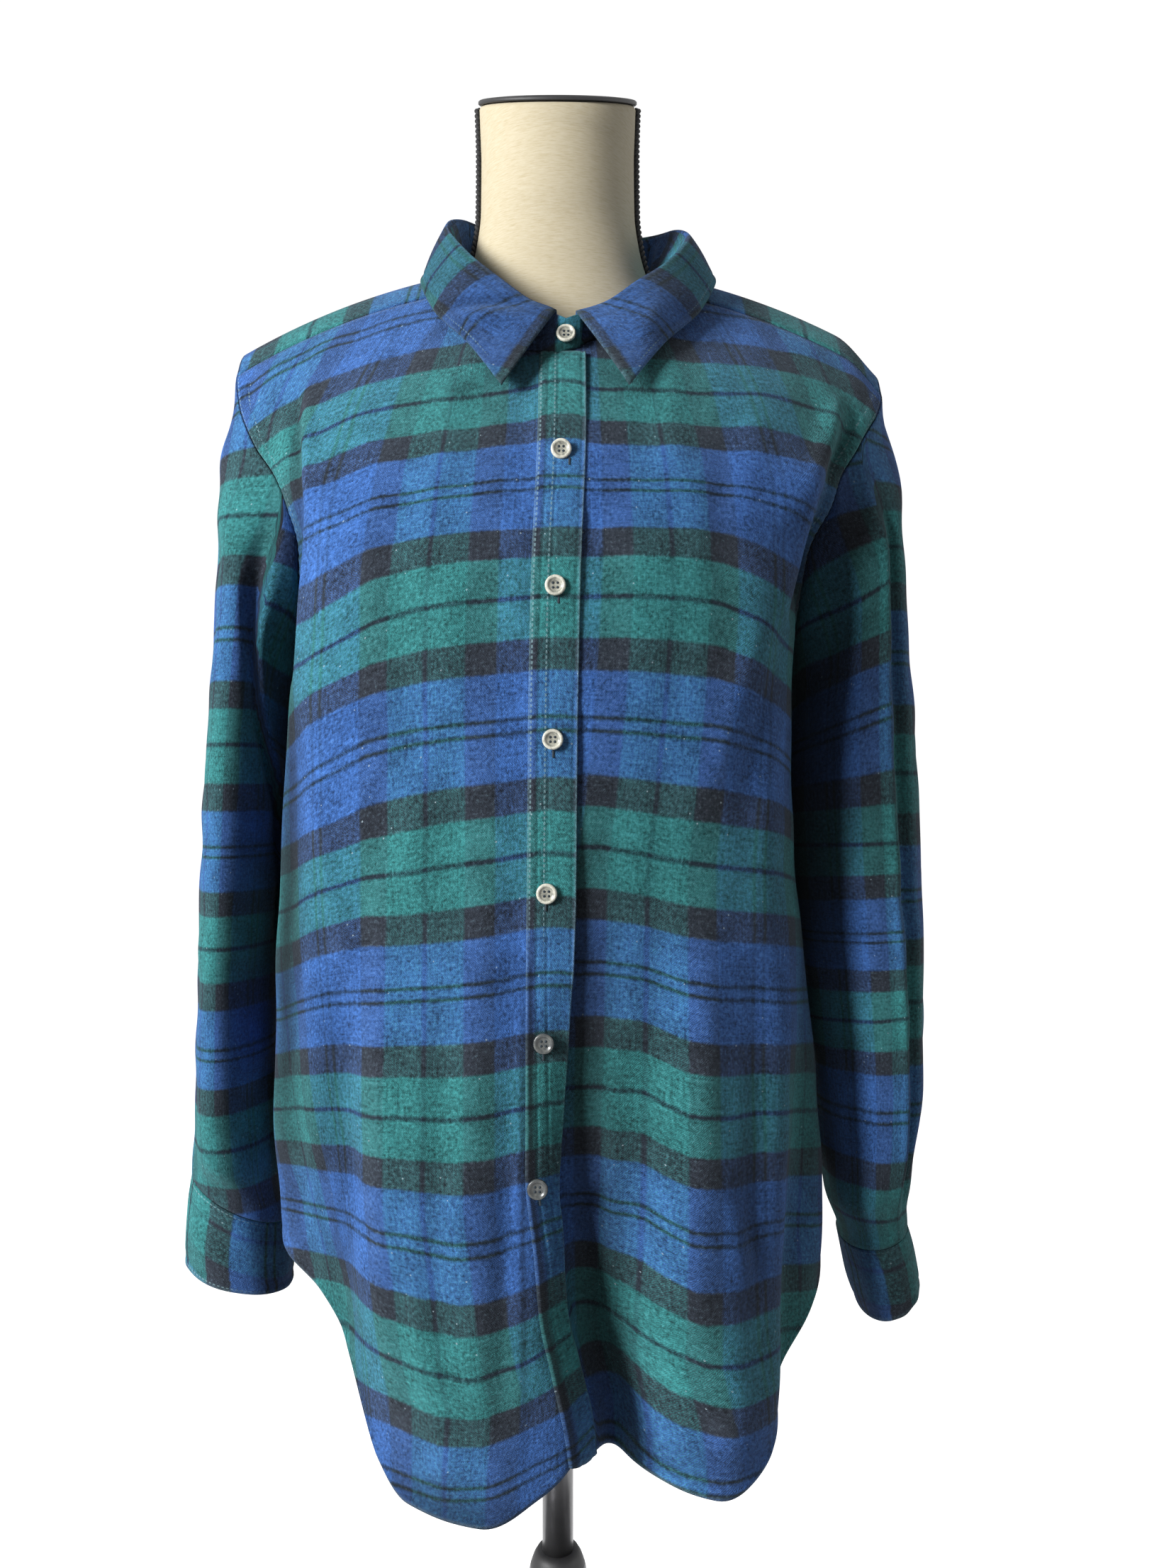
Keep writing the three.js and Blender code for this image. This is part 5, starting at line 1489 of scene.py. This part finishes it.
def torso_rings():
    turn = np.radians(np.arange(FORM_ROUND) * 360 / FORM_ROUND)
    power = 3.2
    reach = (np.abs(np.cos(turn)) ** power + np.abs(np.sin(turn)) ** power) ** (-1 / power)
    half, ahead, behind, middle = (curve(FORM, key) for key in (1, 2, 3, 4))
    lowest = FORM[-1][0]
    rows = [(d, 1, 0) for d in np.linspace(0.3, lowest, 44)]
    for a in np.linspace(0, math.pi / 2, FORM_EDGE["rows"])[1:]:
        shrink = lerp(FORM_EDGE["shrink"], 1, math.cos(a))
        rows.append((lowest, shrink, FORM_EDGE["fall"] * math.sin(a)))
    rings = []
    for dropped, shrink, fall in rows:
        deep = np.where(np.cos(turn) > 0, ahead(dropped), behind(dropped))
        x = half(dropped) * reach * np.sin(turn) * shrink
        y = middle(dropped) - deep * reach * np.cos(turn) * shrink
        height = FORM_RIDGE - dropped * dropped + 0 * x
        rings.append(on_shoulders(x, y, height) - [0, 0, fall])
    return rings


def neck_ring(height, grow=0.0, at=None):
    turn = np.radians(np.arange(FORM_ROUND) * 360 / FORM_ROUND)
    x = (neck_wide(height) + grow) * np.sin(turn)
    y = neck_middle(height) - (neck_deep(height) + grow) * np.cos(turn)
    z = np.full(FORM_ROUND, float(height))
    if at is not None:
        z = at + NECK_TOP["slant"] * (y - NECK_TOP["y"])
    return np.stack([x, y, z], -1)


def neck_rings():
    rings = [neck_ring(height) for height in np.linspace(1000, 1148, 40)]
    for inset, rise in ((0, -3), (0.8, -1), (3, 0)):
        rings.append(neck_ring(NECK_TOP["ring"], -inset, NECK_TOP["height"] + rise))
    return rings


def cap_rings():
    rows = [(-2, 0), (0, 0), (0.9, 0.8), (0.9, 2.6), (0, 3.4), (-3, 3.8)]
    top = NECK_TOP["height"] + SEAM_GAP
    return [neck_ring(NECK_TOP["ring"], grow, top + rise) for grow, rise in rows]


BRAID_SPAN = (1066, 1184)
BRAID_PITCH = 7.0


def braid(side):
    """Two strands twisted round one another down the side of the neck."""
    height = np.linspace(*BRAID_SPAN, 220)
    vertices, faces = [], []
    for strand in range(2):
        a = 2 * math.pi * height / BRAID_PITCH + math.pi * strand
        x = side * (neck_wide(height) + 1.9 + 0.9 * np.cos(a))
        y = neck_middle(height) + 1.6 * np.sin(a)
        add_tube(vertices, faces, np.stack([x, y, height], -1), 1.5)
    return vertices, faces


def lathe_rings(profile, around=96):
    turn = 2 * math.pi * np.arange(around) / around
    return [
        np.stack([radius * np.cos(turn), radius * np.sin(turn), 0 * turn + height], -1)
        for radius, height in profile
    ]


POLE_RADIUS = 11
POLE_SPAN = (120, 429.6)
RING_PROFILE = [(11.3, 150.3), (19, 150.3), (18.7, 152.5), (17, 157), (14.5, 161), (11.3, 161)]
BASE_SLOPE = [
    # radius by height
    (6, 156), (13, 120), (27, 84), (52, 56), (84, 38), (118, 27), (150, 19.5),
]


def base_rings():
    slope = curve(BASE_SLOPE)
    profile = [(159.4, 0), (160, 0.6), (160, 2.6), (159.2, 3.6)]
    profile += [(float(slope(z)), z) for z in np.linspace(6, 150, 60)]
    return lathe_rings(profile)


linen, linen_faces = closed_loft(torso_rings())
neck, neck_faces = closed_loft(neck_rings())
offset = len(linen)
linen_faces += [tuple(k + offset for k in face) for face in neck_faces]
solid("form_linen", linen + neck, linen_faces, LINEN, "linen", ["form_torso"])
solid("neck_cap_black", *closed_loft(cap_rings()), BLACK, "black_trim", ["neck_cap"])
solid("neck_braid_right_cord", *braid(RIGHT), BRAID, "braid", ["neck_braid_right"])
solid("neck_braid_left_cord", *braid(LEFT), BRAID, "braid", ["neck_braid_left"])
pole_profile = [(POLE_RADIUS, POLE_SPAN[0]), (POLE_RADIUS, POLE_SPAN[1])]
solid("pole_steel", *closed_loft(lathe_rings(pole_profile)), STEEL, "steel", ["pole"])
solid("base_ring_black", *closed_loft(lathe_rings(RING_PROFILE)), BLACK, "black_trim", ["base_ring"])
solid("base_steel", *closed_loft(base_rings()), STEEL, "steel", ["base"])


# Camera, light and floor
CAMERA_AT = (0.0215, -0.840, 0.706)
LENS = 27.03


def camera():
    data = bpy.data.cameras.new("camera")
    data.lens = LENS
    data.sensor_width = 36
    obj = bpy.data.objects.new("camera", data)
    obj.location = CAMERA_AT
    obj.rotation_euler = (math.pi / 2, 0, 0)
    bpy.context.collection.objects.link(obj)
    bpy.context.scene.camera = obj


def softbox(name, at, aim, size, power, colour=(1, 1, 1)):
    data = bpy.data.lights.new(name, "AREA")
    data.size = size
    data.energy = power
    data.color = colour
    obj = bpy.data.objects.new(name, data)
    obj.location = at
    obj.rotation_euler = (Vector(aim) - Vector(at)).to_track_quat("-Z", "Y").to_euler()
    bpy.context.collection.objects.link(obj)


def floor():
    material = bpy.data.materials.new("floor")
    material.use_nodes = True
    shader = material.node_tree.nodes["Principled BSDF"]
    shader.inputs["Base Color"].default_value = (0.5, 0.5, 0.5, 1)
    shader.inputs["Roughness"].default_value = 0.9
    shader.inputs["Emission Color"].default_value = (1, 1, 1, 1)
    shader.inputs["Emission Strength"].default_value = 0.9
    bpy.ops.mesh.primitive_plane_add(size=30, location=(0, 0, -0.0005))
    plane = bpy.context.object
    plane.name = "floor"
    plane.data.materials.append(material)
    plane.visible_diffuse = False


def backdrop():
    """A white dome that the camera sees and that lights nothing."""
    material = bpy.data.materials.new("backdrop")
    material.use_nodes = True
    shader = material.node_tree.nodes["Principled BSDF"]
    shader.inputs["Base Color"].default_value = (0, 0, 0, 1)
    shader.inputs["Emission Color"].default_value = (1, 1, 1, 1)
    shader.inputs["Emission Strength"].default_value = 1
    bpy.ops.mesh.primitive_uv_sphere_add(radius=14, segments=48, ring_count=24)
    dome = bpy.context.object
    dome.name = "backdrop"
    dome.data.materials.append(material)
    dome.visible_diffuse = False
    dome.visible_shadow = False


camera()
softbox("key", (-2.2, -1.7, 1.45), (0, 0, 0.7), 1.0, 150)
softbox("side", (2.6, -0.3, 1.3), (0, 0, 0.7), 1.4, 10)
floor()
backdrop()
world = bpy.data.worlds.new("studio")
world.use_nodes = True
world.node_tree.nodes["Background"].inputs["Color"].default_value = (1, 1, 1, 1)
world.node_tree.nodes["Background"].inputs["Strength"].default_value = 0.16
bpy.context.scene.world = world
bpy.context.scene.view_settings.view_transform = "Standard"
